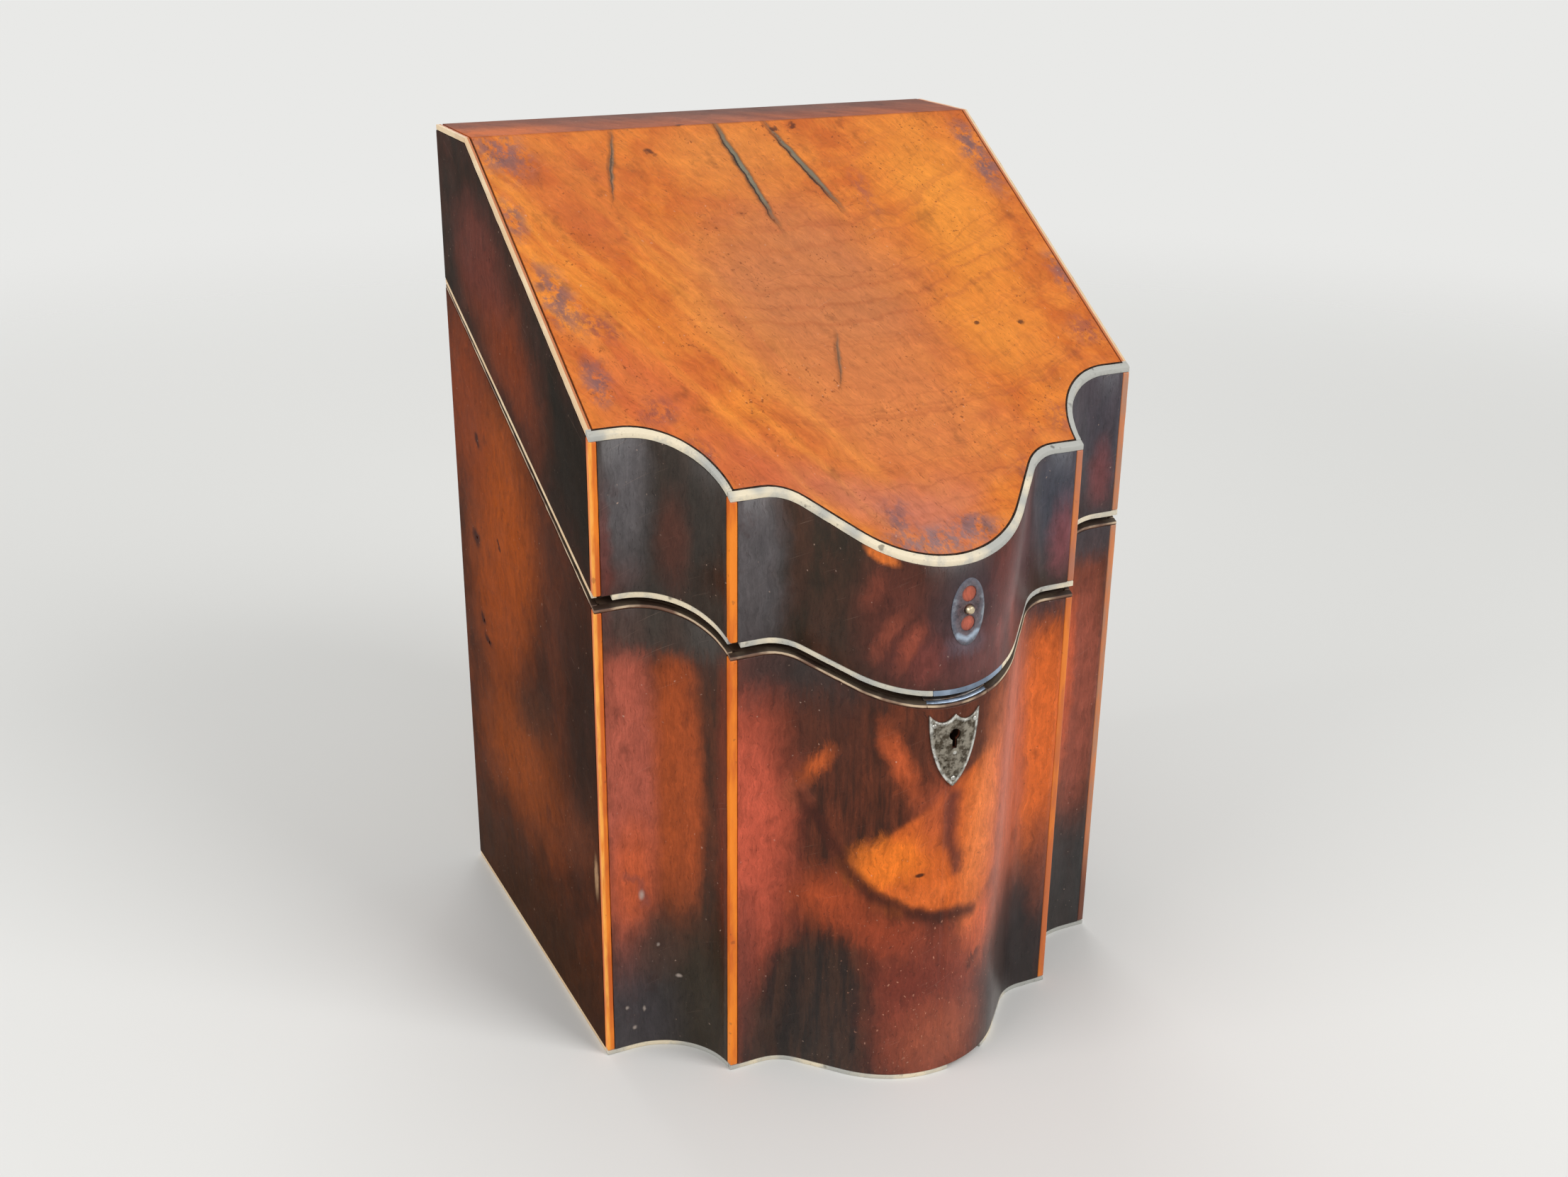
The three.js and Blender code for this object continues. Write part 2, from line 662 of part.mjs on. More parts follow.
hingeFrames.forEach((frame, i) => {
  const side = ['left', 'right'][i];
  const fixedGroup = new THREE.Group();
  const movingGroup = new THREE.Group();
  for (const group of [fixedGroup, movingGroup]) {
    group.applyMatrix4(frame);
  }
  put(fixedGroup, `${side}_hinge_fixed_leaf`, fixedLeaf, tones.brass);
  put(movingGroup, `${side}_hinge_moving_leaf`, movingLeaf, tones.brass);
  const pin = new THREE.Mesh(
    new THREE.CylinderGeometry(hingePinRadius, hingePinRadius, hingeLength, turnedSides),
    new THREE.MeshStandardMaterial(tones.iron),
  );
  pin.name = `${side}_hinge_pin`;
  pin.rotation.z = Math.PI / 2;
  fixedGroup.add(pin);
  caseGroup.add(fixedGroup);
  lidGroup.add(movingGroup);
});

// Lid: boards
const boardUnder = veneer + lidBoardDepth;
const lidHeight = layer(underLine(0), topLine(boardUnder + glueLine));
const lidRebate = layer(level(-beyond), underLine(lidStringHeight + glueLine)).subtract(insideString);
const topRebate = layer(topLine(topStringHeight + glueLine), level(height + beyond)).subtract(insideString);
const linkPlay = linkPlate + glueLine;
const linkPlan = block(
  lockLeft - glueLine,
  lockRight + glueLine,
  stapleY - linkLength / 2 - glueLine,
  stapleY + linkLength / 2 + glueLine,
  0,
  height,
);
const linkSpace = linkPlan.intersect(layer(underLine(-beyond), underLine(linkPlay)));
const pullProfile = (play, rise) => [
  [0, -pullLength - play],
  [pullShank + play, -pullLength - play],
  [pullShank + play, rise],
  [0, rise],
];
const lidFootAtBow = underAt(bowFront);
const lidTopAtBow = slopeFrontHeight + topSlope * bowFront;
const pullHeight = lidFootAtBow + pullShare * (lidTopAtBow - lidFootAtBow);
const pullHole = onBow(pullProfile(glueLine, beyond), pullOffset, pullHeight, 0);

let lidFront = underVeneer.intersect(ahead(frontWall)).intersect(lidHeight).subtract(hollow);
lidFront = withoutPosts(lidFront).subtract(lidRebate).subtract(linkSpace);
lidFront = lidFront.subtract(pullHole);
put(lidGroup, 'lid_front_core', lidFront, tones.carcase);

for (const [name, sign] of [['lid_left_side', -1], ['lid_right_side', 1]]) {
  const inner = sign * innerHalf;
  const board = underVeneer
    .intersect(within(Math.min(inner, sign * width), Math.max(inner, sign * width)))
    .intersect(behind(frontWall))
    .intersect(lidHeight);
  put(lidGroup, name, board.subtract(lidRebate), tones.carcase);
}

const lidBack = lidMortises.reduce((rest, cut) => rest.subtract(cut), backSpace.intersect(lidHeight));
put(lidGroup, 'lid_back_rail', lidBack, tones.carcase);

const lidBoardLayer = layer(topLine(boardUnder), topLine(veneer + glueLine));
const lidBoards = withoutPosts(underVeneer.intersect(lidBoardLayer));
put(lidGroup, 'lid_slope_board', lidBoards.subtract(topRebate).intersect(ahead(ridge)), tones.carcase);
put(lidGroup, 'lid_top_board', lidBoards.subtract(topRebate).intersect(behind(ridge)), tones.carcase);

// Lid: veneers
const lidSheets = [
  ['lid_left_veneer', sheetSpace.left, tones.sideVeneer],
  ['lid_right_veneer', sheetSpace.right, tones.sideVeneer],
  ['lid_left_cove_veneer', sheetSpace.leftCove, tones.frontVeneer],
  ['lid_right_cove_veneer', sheetSpace.rightCove, tones.frontVeneer],
  ['lid_front_veneer', sheetSpace.centre, tones.frontVeneer],
];
const lidSkinBand = layer(underLine(lidStringHeight + glueLine), topLine(topStringHeight + glueLine));
const lidSkin = veneerRing.intersect(lidSkinBand).subtract(pullHole);
for (const [name, space, finish] of lidSheets) {
  put(lidGroup, name, lidSkin.intersect(space), finish);
}

const topSkin = plan(stringWidth + glueLine).intersect(layer(topLine(veneer), topLine(0)));
put(lidGroup, 'lid_slope_veneer', topSkin.intersect(ahead(ridge)), tones.lidVeneer);
put(lidGroup, 'lid_flat_veneer', topSkin.intersect(behind(ridge)), tones.flatVeneer);

// Lid: stringing
const topBand = layer(topLine(topStringHeight), topLine(0));
const lidRimBand = layer(underLine(0), underLine(lidStringHeight));
put(lidGroup, 'lid_top_string', stringRing.intersect(topBand), tones.paleString);
put(lidGroup, 'lid_rim_string', stringRing.intersect(lidRimBand), tones.paleString);
for (const [side, sign] of [['left', -1], ['right', 1]]) {
  put(lidGroup, `lid_${side}_corner_string`, cornerPost(sign).intersect(lidSkinBand), tones.warmString);
  put(lidGroup, `lid_${side}_fin_string`, finPost(sign).intersect(lidSkinBand), tones.warmString);
}

// Link plate with its staple, let in flush under the lid's front
const staple = block(
  stapleX - stapleThickness / 2,
  stapleX + stapleThickness / 2,
  -stapleWidth / 2,
  stapleWidth / 2,
  -stapleDrop,
  beyond,
  stapleFrame,
).intersect(layer(level(0), underLine(linkPlate / 2)));
const eye = block(
  stapleX - stapleThickness,
  stapleX + stapleThickness,
  -eyeWidth / 2,
  eyeWidth / 2,
  -eyeDrop - eyeHeight / 2,
  -eyeDrop + eyeHeight / 2,
  stapleFrame,
);
const link = block(
  lockLeft,
  lockRight,
  stapleY - linkLength / 2,
  stapleY + linkLength / 2,
  0,
  height,
).intersect(layer(underLine(0), underLine(linkPlate))).intersect(insideString);
put(lidGroup, 'link_plate', link.add(staple).subtract(eye), tones.iron);

// Stub of the lid pull
const stubProfile = [
  [0, -pullLength],
  [pullShank, -pullLength],
  [pullShank, glueLine],
  [pullBoss, glueLine],
  [pullBoss, pullBreak],
  [pullShank, pullRise - pullTaper],
  [0, pullRise],
];
put(lidGroup, 'lid_pull_stub', onBow(stubProfile, pullOffset, pullHeight, 0), tones.brass);

// Bolt, drawn back: a thin tip that passes the staple's eye, and a tail with a talon for the key
const tipEnd = stapleX - stapleThickness / 2 - boltTip;
const tailEnd = stumpX + stumpRadius + stumpPlay + boltSlotWall;
const tailStart = lockLeft + lockWall + lockPlay;
const tail = new THREE.Path();
const tailTop = boltZ + boltTailHeight / 2;
const tailFoot = boltZ - boltTailHeight / 2 - talonReach;
const talonX = -boltTravel / 2;
tail.moveTo(tailStart, tailTop);
tail.lineTo(tailStart, boltZ - boltTailHeight / 2);
tail.lineTo(talonX - talonRadius - talonLip, tailFoot);
tail.lineTo(talonX - talonRadius, tailFoot);
tail.absarc(talonX, tailFoot, talonRadius, Math.PI, 0, true);
tail.lineTo(talonX + talonRadius + talonLip, tailFoot);
tail.lineTo(tailEnd, tailTop);
const stumpSlot = new THREE.Path();
const slotHalf = stumpRadius + stumpPlay;
stumpSlot.absarc(stumpX, boltZ, slotHalf, -Math.PI / 2, Math.PI / 2, false);
stumpSlot.absarc(stumpX - boltTravel, boltZ, slotHalf, Math.PI / 2, 1.5 * Math.PI, false);
const tipTop = boltZ + boltTipHeight / 2;
const tip = block(
  tailEnd - over,
  tipEnd,
  boltY - boltTipDepth / 2,
  boltY + boltTipDepth / 2,
  boltZ - boltTipHeight / 2,
  tipTop,
);
const bolt = forward(tail, boltY - boltTailDepth / 2, boltY + boltTailDepth / 2)
  .subtract(forward(stumpSlot, boltY - boltTailDepth, boltY + boltTailDepth))
  .add(tip);
put(boltGroup, 'lock_bolt', bolt, tones.iron);

// The origin is the middle of the footprint, under the box
const frontReach = bowFront - Math.max(pullRise, shieldThickness + glueLine + tackRise);
const backReach = pinY + barrelRadius;
box.position.y = -(frontReach + backReach) / 2;

export default box;
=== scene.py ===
# Knife box with a serpentine front: mahogany veneers, pale stringing, worn old finish.

import json
import math
from contextlib import contextmanager
from itertools import chain

import bpy
from mathutils import Matrix, Vector
from mathutils.geometry import interpolate_bezier

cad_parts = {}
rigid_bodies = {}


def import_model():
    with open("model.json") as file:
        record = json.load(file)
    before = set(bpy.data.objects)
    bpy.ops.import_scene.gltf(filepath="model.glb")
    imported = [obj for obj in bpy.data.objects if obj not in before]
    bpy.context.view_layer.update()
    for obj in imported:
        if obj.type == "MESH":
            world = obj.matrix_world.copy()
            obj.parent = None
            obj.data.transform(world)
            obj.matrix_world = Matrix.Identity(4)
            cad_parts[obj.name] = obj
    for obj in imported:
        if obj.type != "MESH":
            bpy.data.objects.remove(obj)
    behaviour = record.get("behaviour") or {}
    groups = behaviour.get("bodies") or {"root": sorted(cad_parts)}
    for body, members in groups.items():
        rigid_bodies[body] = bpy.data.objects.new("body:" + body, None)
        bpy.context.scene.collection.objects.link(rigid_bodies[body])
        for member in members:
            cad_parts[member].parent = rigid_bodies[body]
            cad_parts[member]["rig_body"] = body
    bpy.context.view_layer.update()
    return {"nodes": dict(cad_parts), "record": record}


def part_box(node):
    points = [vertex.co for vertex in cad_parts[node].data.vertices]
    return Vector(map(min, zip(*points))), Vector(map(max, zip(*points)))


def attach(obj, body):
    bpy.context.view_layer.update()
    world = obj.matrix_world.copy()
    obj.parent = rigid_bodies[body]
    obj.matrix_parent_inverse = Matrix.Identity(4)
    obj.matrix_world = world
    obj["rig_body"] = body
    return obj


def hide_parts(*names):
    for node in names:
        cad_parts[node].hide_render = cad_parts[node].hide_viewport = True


bl_info = {
    "name": "Knife box",
    "version": (1, 0, 0),
    "blender": (4, 5, 0),
    "location": "View3D > Sidebar > Knife Box",
    "description": "Builds a knife box's veneers, stringing, fittings and worn finish around its frame",
    "category": "Add Mesh",
}

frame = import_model()
MM = 0.001
QUARTER = math.pi / 2


def low(node):
    """Lowest corner of a frame node."""
    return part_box(node)[0]


def high(node):
    """Highest corner of a frame node."""
    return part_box(node)[1]


# Strings, glue line and veneer, as thick as in the frame
STRING_WIDTH = 2.2 * MM
BASE_STRING = high("base_string").z - low("base_string").z
RIM_STRING = 1.5 * MM
LID_STRING = 2.2 * MM
TOP_STRING = 2.2 * MM
GLUE = 0.1 * MM
VENEER = 0.9 * MM
POST = high("left_corner_string").x - low("left_corner_string").x

# The serpentine line of the front, from a corner inwards: flat, quarter cove, fin, shoulder, hollow, bow
HALF_WIDTH = -low("left_side_veneer").x
FRONT_Y = low("left_corner_string").y
BACK_Y = high("left_side_veneer").y
FIN_Y = low("left_fin_string").y
BOW_Y = low("front_veneer").y
COVE_RADIUS = FRONT_Y - FIN_Y
CORNER_FLAT = 11 * MM
COVE_X = HALF_WIDTH - CORNER_FLAT
FIN_X = COVE_X - COVE_RADIUS
HOLLOW_RADIUS = 17 * MM
BOW_RADIUS = 46 * MM
BOW_TURN = math.radians(47.5)
BOW_CENTRE = BOW_Y + BOW_RADIUS
BOW_RUN = FIN_Y - BOW_Y - (HOLLOW_RADIUS + BOW_RADIUS) * (1 - math.cos(BOW_TURN))
STRAIGHT = BOW_RUN / math.sin(BOW_TURN)
HOLLOW_X = (HOLLOW_RADIUS + BOW_RADIUS) * math.sin(BOW_TURN) + STRAIGHT * math.cos(BOW_TURN)

# Sloping surfaces: a point on each in Y and Z, and how steeply it climbs to the back
RIM_BACK = high("rim_string").z
RIM_SLOPE = (RIM_BACK - low("rim_string").z - RIM_STRING) / (BACK_Y - BOW_Y)
LID_BACK = high("lid_rim_string").z - LID_STRING
LID_SLOPE = (LID_BACK - low("lid_rim_string").z) / (BACK_Y - BOW_Y)
RIDGE_Y = low("lid_flat_veneer").y
TOP_Z = high("lid_flat_veneer").z
TOP_SLOPE = (TOP_Z - low("lid_top_string").z - TOP_STRING) / (RIDGE_Y - BOW_Y)

# The lock's keyhole, and where worms went through the left side: how far behind the front corner,
# how high, and half the size of the stain round the hole, in millimetres
KEY_Z = (low("drill_pin").z + high("drill_pin").z) / 2
WORM_HOLES = ((145, 169, 5, 3.2), (141, 132, 3.6, 2.2), (135, 124, 3, 1.8))

# How the edges of veneers and of covered boards are softened, and how near two points are merged
VENEER_EDGE = 0.08 * MM
COVERED_EDGE = 0.05 * MM
MERGE = 0.01 * MM

# The camera that was fitted to the photo: place and aim in metres, roll in radians, lens in millimetres
CAMERA_SPOT = Vector((-309.78, -611.53, 441.20)) * MM
CAMERA_AIM = Vector((-0.413, 21.895, 152.26)) * MM
CAMERA_ROLL = 0.011
CAMERA_LENS = 41.327


def lid_at(y):
    """Height of the underside of the lid."""
    return LID_BACK + LID_SLOPE * (y - BACK_Y)


def tone(red, green, blue):
    """A colour given in the usual numbers up to 255, as the linear values that Blender works in."""
    shares = [part / 255 for part in (red, green, blue)]
    return tuple(s / 12.92 if s <= 0.04045 else ((s + 0.055) / 1.055) ** 2.4 for s in shares)


def length(name, description, default):
    return bpy.props.FloatProperty(
        name=name, description=description, default=default, min=0, unit="LENGTH", precision=5
    )


def colour(name, description, *numbers):
    return bpy.props.FloatVectorProperty(
        name=name, description=description, subtype="COLOR", size=3, min=0, max=1, default=tone(*numbers)
    )


class KnifeBoxSizes(bpy.types.PropertyGroup):
    """Sizes that a maker may change without leaving the frame"""

    step: length("Step", "Length of one facet along a curve", 2.5 * MM)
    board_edge: length("Board edge", "Softening of the edges of the boards", 0.4 * MM)
    string_edge: length("String edge", "Rounding of the worn stringing", 0.3 * MM)
    metal_edge: length("Metal edge", "Rounding of the edges of the brass and iron", 0.15 * MM)
    string_wear: length("String wear", "Unevenness of the worn stringing", 0.25 * MM)
    scar_film: length("Scar film", "Thickness of the old lacquer round the lost pull", 0.3 * MM)
    screw_radius: length("Screw radius", "Radius of the heads of the hinge screws", 2.1 * MM)
    small_screw_radius: length("Small screw radius", "Radius of the heads of the lock screws", 1.6 * MM)


class KnifeBoxColours(bpy.types.PropertyGroup):
    """Colours of the woods, metals and stains"""

    wood_dark: colour("Dark mahogany", "Deepest brown of the veneers", 58, 28, 22)
    grime: colour("Grime", "Dark dirt along edges and in cracks", 34, 22, 18)
    carcase: colour("Carcase", "Softwood of the boards", 150, 108, 68)
    carcase_dark: colour("Carcase grain", "Summer growth of the softwood", 104, 66, 38)
    rack_red: colour("Cutlery board", "Mahogany of the pierced board", 112, 52, 28)
    brass: colour("Brass", "Hinges and lid pull", 176, 138, 72)
    iron: colour("Iron", "Lock, pins and screws", 150, 150, 150)
    rust: colour("Rust", "Rust on the iron", 104, 80, 64)
    floor: colour("Floor", "Plain pale floor", 226, 226, 224)


def sizes():
    return bpy.context.scene.knife_box_sizes


def colours():
    return bpy.context.scene.knife_box_colours


# Shader maths


def fill(socket, value):
    """Links a value that other nodes make into a socket, or writes a plain one there."""
    if isinstance(value, Socket):
        value.tree.links.new(value.link, socket)
    else:
        socket.default_value = value


class Socket:
    """A value, colour or vector in a material's nodes, so that shader maths reads as plain sums."""

    def __init__(self, tree, link):
        self.tree = tree
        self.link = link

    def node(self, kind, settings=None, inputs=None, out=0):
        """Adds a node, makes its settings, fills its sockets and returns one of its outputs."""
        made = self.tree.nodes.new(kind)
        for key, value in (settings or {}).items():
            setattr(made, key, value)
        for key, value in (inputs or {}).items():
            fill(made.inputs[key], value)
        return Socket(self.tree, made.outputs[out])

    def maths(self, operation, *values):
        return self.node("ShaderNodeMath", {"operation": operation}, dict(enumerate(values)))

    def __add__(self, other):
        return self.maths("ADD", self, other)

    def __sub__(self, other):
        return self.maths("SUBTRACT", self, other)

    def __rsub__(self, other):
        return self.maths("SUBTRACT", other, self)

    def __mul__(self, other):
        return self.maths("MULTIPLY", self, other)

    def most(self, other):
        """The larger of two values."""
        return self.maths("MAXIMUM", self, other)

    def vector(self, operation, *values):
        """This place put through vector maths. A length, a distance or a product comes out as a value."""
        out = "Value" if operation in ("LENGTH", "DISTANCE", "DOT_PRODUCT") else "Vector"
        inputs = dict(enumerate((self, *values)))
        return self.node("ShaderNodeVectorMath", {"operation": operation}, inputs, out)

    def axis(self, name):
        """The X, Y or Z of this place."""
        return self.node("ShaderNodeSeparateXYZ", {}, {0: self}, name)

    def between(self, start, stop):
        """Goes smoothly from 0 to 1 while the value goes from start to stop."""
        settings = {"interpolation_type": "SMOOTHSTEP"}
        return self.node("ShaderNodeMapRange", settings, {0: self, 1: start, 2: stop, 3: 0.0, 4: 1.0})

    def tint(self, under, over):
        """The colour under, turned into over where this value is 1."""
        inputs = {0: self, 6: full(under), 7: full(over)}
        return self.node("ShaderNodeMix", {"data_type": "RGBA"}, inputs, 2)

    def mixed(self, kind, share, over):
        """This colour with another one laid over it in the given way."""
        settings = {"data_type": "RGBA", "blend_type": kind}
        return self.node("ShaderNodeMix", settings, {0: share, 6: self, 7: full(over)}, 2)

    def inside(self, corners, soft):
        """1 inside a shape whose corners go round anticlockwise and never turn back, and 0 outside."""
        mask = None
        for (x0, y0), (x1, y1) in zip(corners, [*corners[1:], corners[0]]):
            run = math.hypot(x1 - x0, y1 - y0)
            inward = ((y0 - y1) / run, (x1 - x0) / run, 0)
            edge = x0 * inward[0] + y0 * inward[1]
            side = self.vector("DOT_PRODUCT", inward).between(edge - soft, edge + soft)
            mask = side if mask is None else mask * side
        return mask

    def noise(self, stretch, detail=3.0, rough=0.5, out=0):
        """Noise over this place, whose lumps measure about the given number of millimetres each way."""
        place = self.vector("MULTIPLY", tuple(1 / size for size in stretch))
        inputs = {"Vector": place, "Scale": 1.0, "Detail": detail, "Roughness": rough}
        return self.node("ShaderNodeTexNoise", {}, inputs, out)

    def moved(self, x, y, turn=0.0, wide=1.0, tall=1.0):
        """This place seen from (x, y), turned by so many degrees and measured in the given units."""
        inputs = {1: (x, y, 0), 2: (0, 0, math.radians(turn)), 3: (wide, tall, 1)}
        return self.node("ShaderNodeMapping", {"vector_type": "TEXTURE"}, {0: self, **inputs})

    def spot(self, x, y, wide, tall, turn=0.0, soft=0.5):
        """1 inside an oval and 0 outside it."""
        reach = self.moved(x, y, turn, wide, tall)
        return reach.vector("LENGTH").between(1 + soft, 1 - soft)

    def stroke(self, points, wide, soft=0.5):
        """1 along a line through the points, and 0 away from it."""
        nearest = None
        for (x0, y0), (x1, y1) in zip(points, points[1:]):
            half = math.hypot(x1 - x0, y1 - y0) / 2
            turn = math.degrees(math.atan2(y1 - y0, x1 - x0))
            place = self.moved((x0 + x1) / 2, (y0 + y1) / 2, turn).vector("ABSOLUTE")
            reach = place.vector("SUBTRACT", (half, 0, 0)).vector("MAXIMUM", (0, 0, 0)).vector("LENGTH")
            nearest = reach if nearest is None else reach.maths("MINIMUM", nearest, reach)
        return nearest.between(wide * (0.5 + soft), wide * max(0.5 - soft, 0))


def full(value):
    """A colour with its alpha, or a link left as it is."""
    if isinstance(value, Socket) or not hasattr(value, "__len__"):
        return value
    return (value[0], value[1], value[2], 1.0)


class Finish:
    """A material under construction, with its shader and the places that its patterns follow."""

    def __init__(self, name, **constants):
        self.material = bpy.data.materials.new(name)
        self.material.use_nodes = True
        tree = self.material.node_tree
        self.shader = tree.nodes["Principled BSDF"]
        self.start = Socket(tree, None)
        self.set(**constants)

    def place(self, order="XYZ"):
        """Where a point of the piece is, in millimetres, with its axes in the given order, or 0 for one."""
        return self.ordered(self.start.node("ShaderNodeTexCoord", out="Object"), order)

    def along(self):
        """How far a point is along the veneer's face from its middle, and how high, in millimetres."""
        run = self.start.node("ShaderNodeAttribute", {"attribute_name": "run"}, out="Vector")
        return self.ordered(run, "XYZ")

    def ordered(self, spot, order):
        """A place in metres as millimetres, with its axes in the given order."""
        scaled = spot.node("ShaderNodeVectorMath", {"operation": "SCALE"}, {0: spot, "Scale": 1 / MM})
        values = {i: scaled.axis(axis) for i, axis in enumerate(order) if axis != "0"}
        return scaled.node("ShaderNodeCombineXYZ", {}, values)

    def set(self, **values):
        """Fills the shader's sockets, which are named with _ for each space."""
        for key, value in values.items():
            fill(self.shader.inputs[key.replace("_", " ")], full(value))

    def finished(self, ground, rough, relief, depth, strength):
        """The material with its colour and roughness, raised by so many millimetres where relief is 1."""
        inputs = {"Height": relief, "Distance": depth * MM, "Strength": strength}
        bump = self.start.node("ShaderNodeBump", {}, inputs)
        self.set(Base_Color=ground, Roughness=rough, Normal=bump)
        return self.material


# Shared patterns


def ranged(value, start, stop):
    """A value from 0 to 1, spread from start to stop."""
    return value * (stop - start) + start


def about_one(value, reach):
    """A value from 0 to 1, spread evenly on both sides of 1."""
    return ranged(value, 1 - reach, 1 + reach)


def bent(place, lump, shift):
    """The place pushed about by soft lumps, so that what is laid on it has uneven edges."""
    lumps = place.noise((lump, lump, 1), 5, 0.6, out=1)
    aside = lumps.vector("SUBTRACT", (0.5, 0.5, 0.5))
    return aside.vector("MULTIPLY_ADD", (shift, shift, 0), place)


def feathered(place, across, along, shift):
    """The place pushed up and down along the fibres, so that edges across them fray."""
    frayed = place.noise((across, along, 1), 4, 0.65) - 0.5
    push = place.node("ShaderNodeCombineXYZ", {}, {1: frayed * shift})
    return place.vector("ADD", push)


def pores(place):
    """Short dark pores that run along Y of the place."""
    return place.noise((0.3, 3.5, 1), 2).between(0.6, 0.74)


def scratches(place):
    """A few thin marks and specks in the old finish."""
    scored = place.moved(0, 0, 24).noise((26, 0.3, 1), 2).between(0.71, 0.75)
    specks = place.noise((1.5, 1.7, 1), 1).between(0.72, 0.8)
    gathered = place.moved(7, 3).noise((24, 24, 1), 3).between(0.44, 0.6)
    return scored * 0.3 + specks * gathered


def laid(ground, place, patches):
    """Lays ovals of colour over the ground.

    Each patch is its middle, half its width and height, turn, softness, colour up to 255 and share.
    """
    for x, y, wide, tall, turn, soft, shade, share in patches:
        ground = (place.spot(x, y, wide, tall, turn, soft) * share).tint(ground, tone(*shade))
    return ground


def figured(made, place, ground, grain, dull=0.0, mottling=1.0):
    """Gives a laid-out ground the wood's fibre, mottle and pores, and an old gloss finish."""
    fibre = grain.noise((0.7, 14, 1), 3, 0.6)
    mottle = grain.noise((4, 9, 1), 4, 0.65)
    blotch = place.moved(31, 17).noise((13, 17, 1), 4, 0.6)
    fine = place.noise((1.4, 1.8, 1), 3, 0.7)
    shade = about_one(fibre, 0.38 * mottling) * about_one(mottle, 0.55 * mottling)
    shade = shade * about_one(fine, 0.18 * mottling)
    ground = (blotch.between(0.42, 0.3) * 0.3).tint(ground, colours().wood_dark)
    ground = ground.mixed("MULTIPLY", 1.0, shade)
    holes = pores(grain)
    ground = ground.mixed("MULTIPLY", holes * 0.5, tone(90, 60, 50))
    ground = (scratches(place) * 0.45).tint(ground, tone(214, 180, 160))
    worn = place.noise((34, 26, 1), 4, 0.6)
    relief = fibre * 0.4 - holes * 0.5 + place.noise((16, 20, 1), 2) * 2.0
    return made.finished(ground, ranged(worn, 0.2 + dull, 0.42 + dull), relief, 0.12, 0.6)


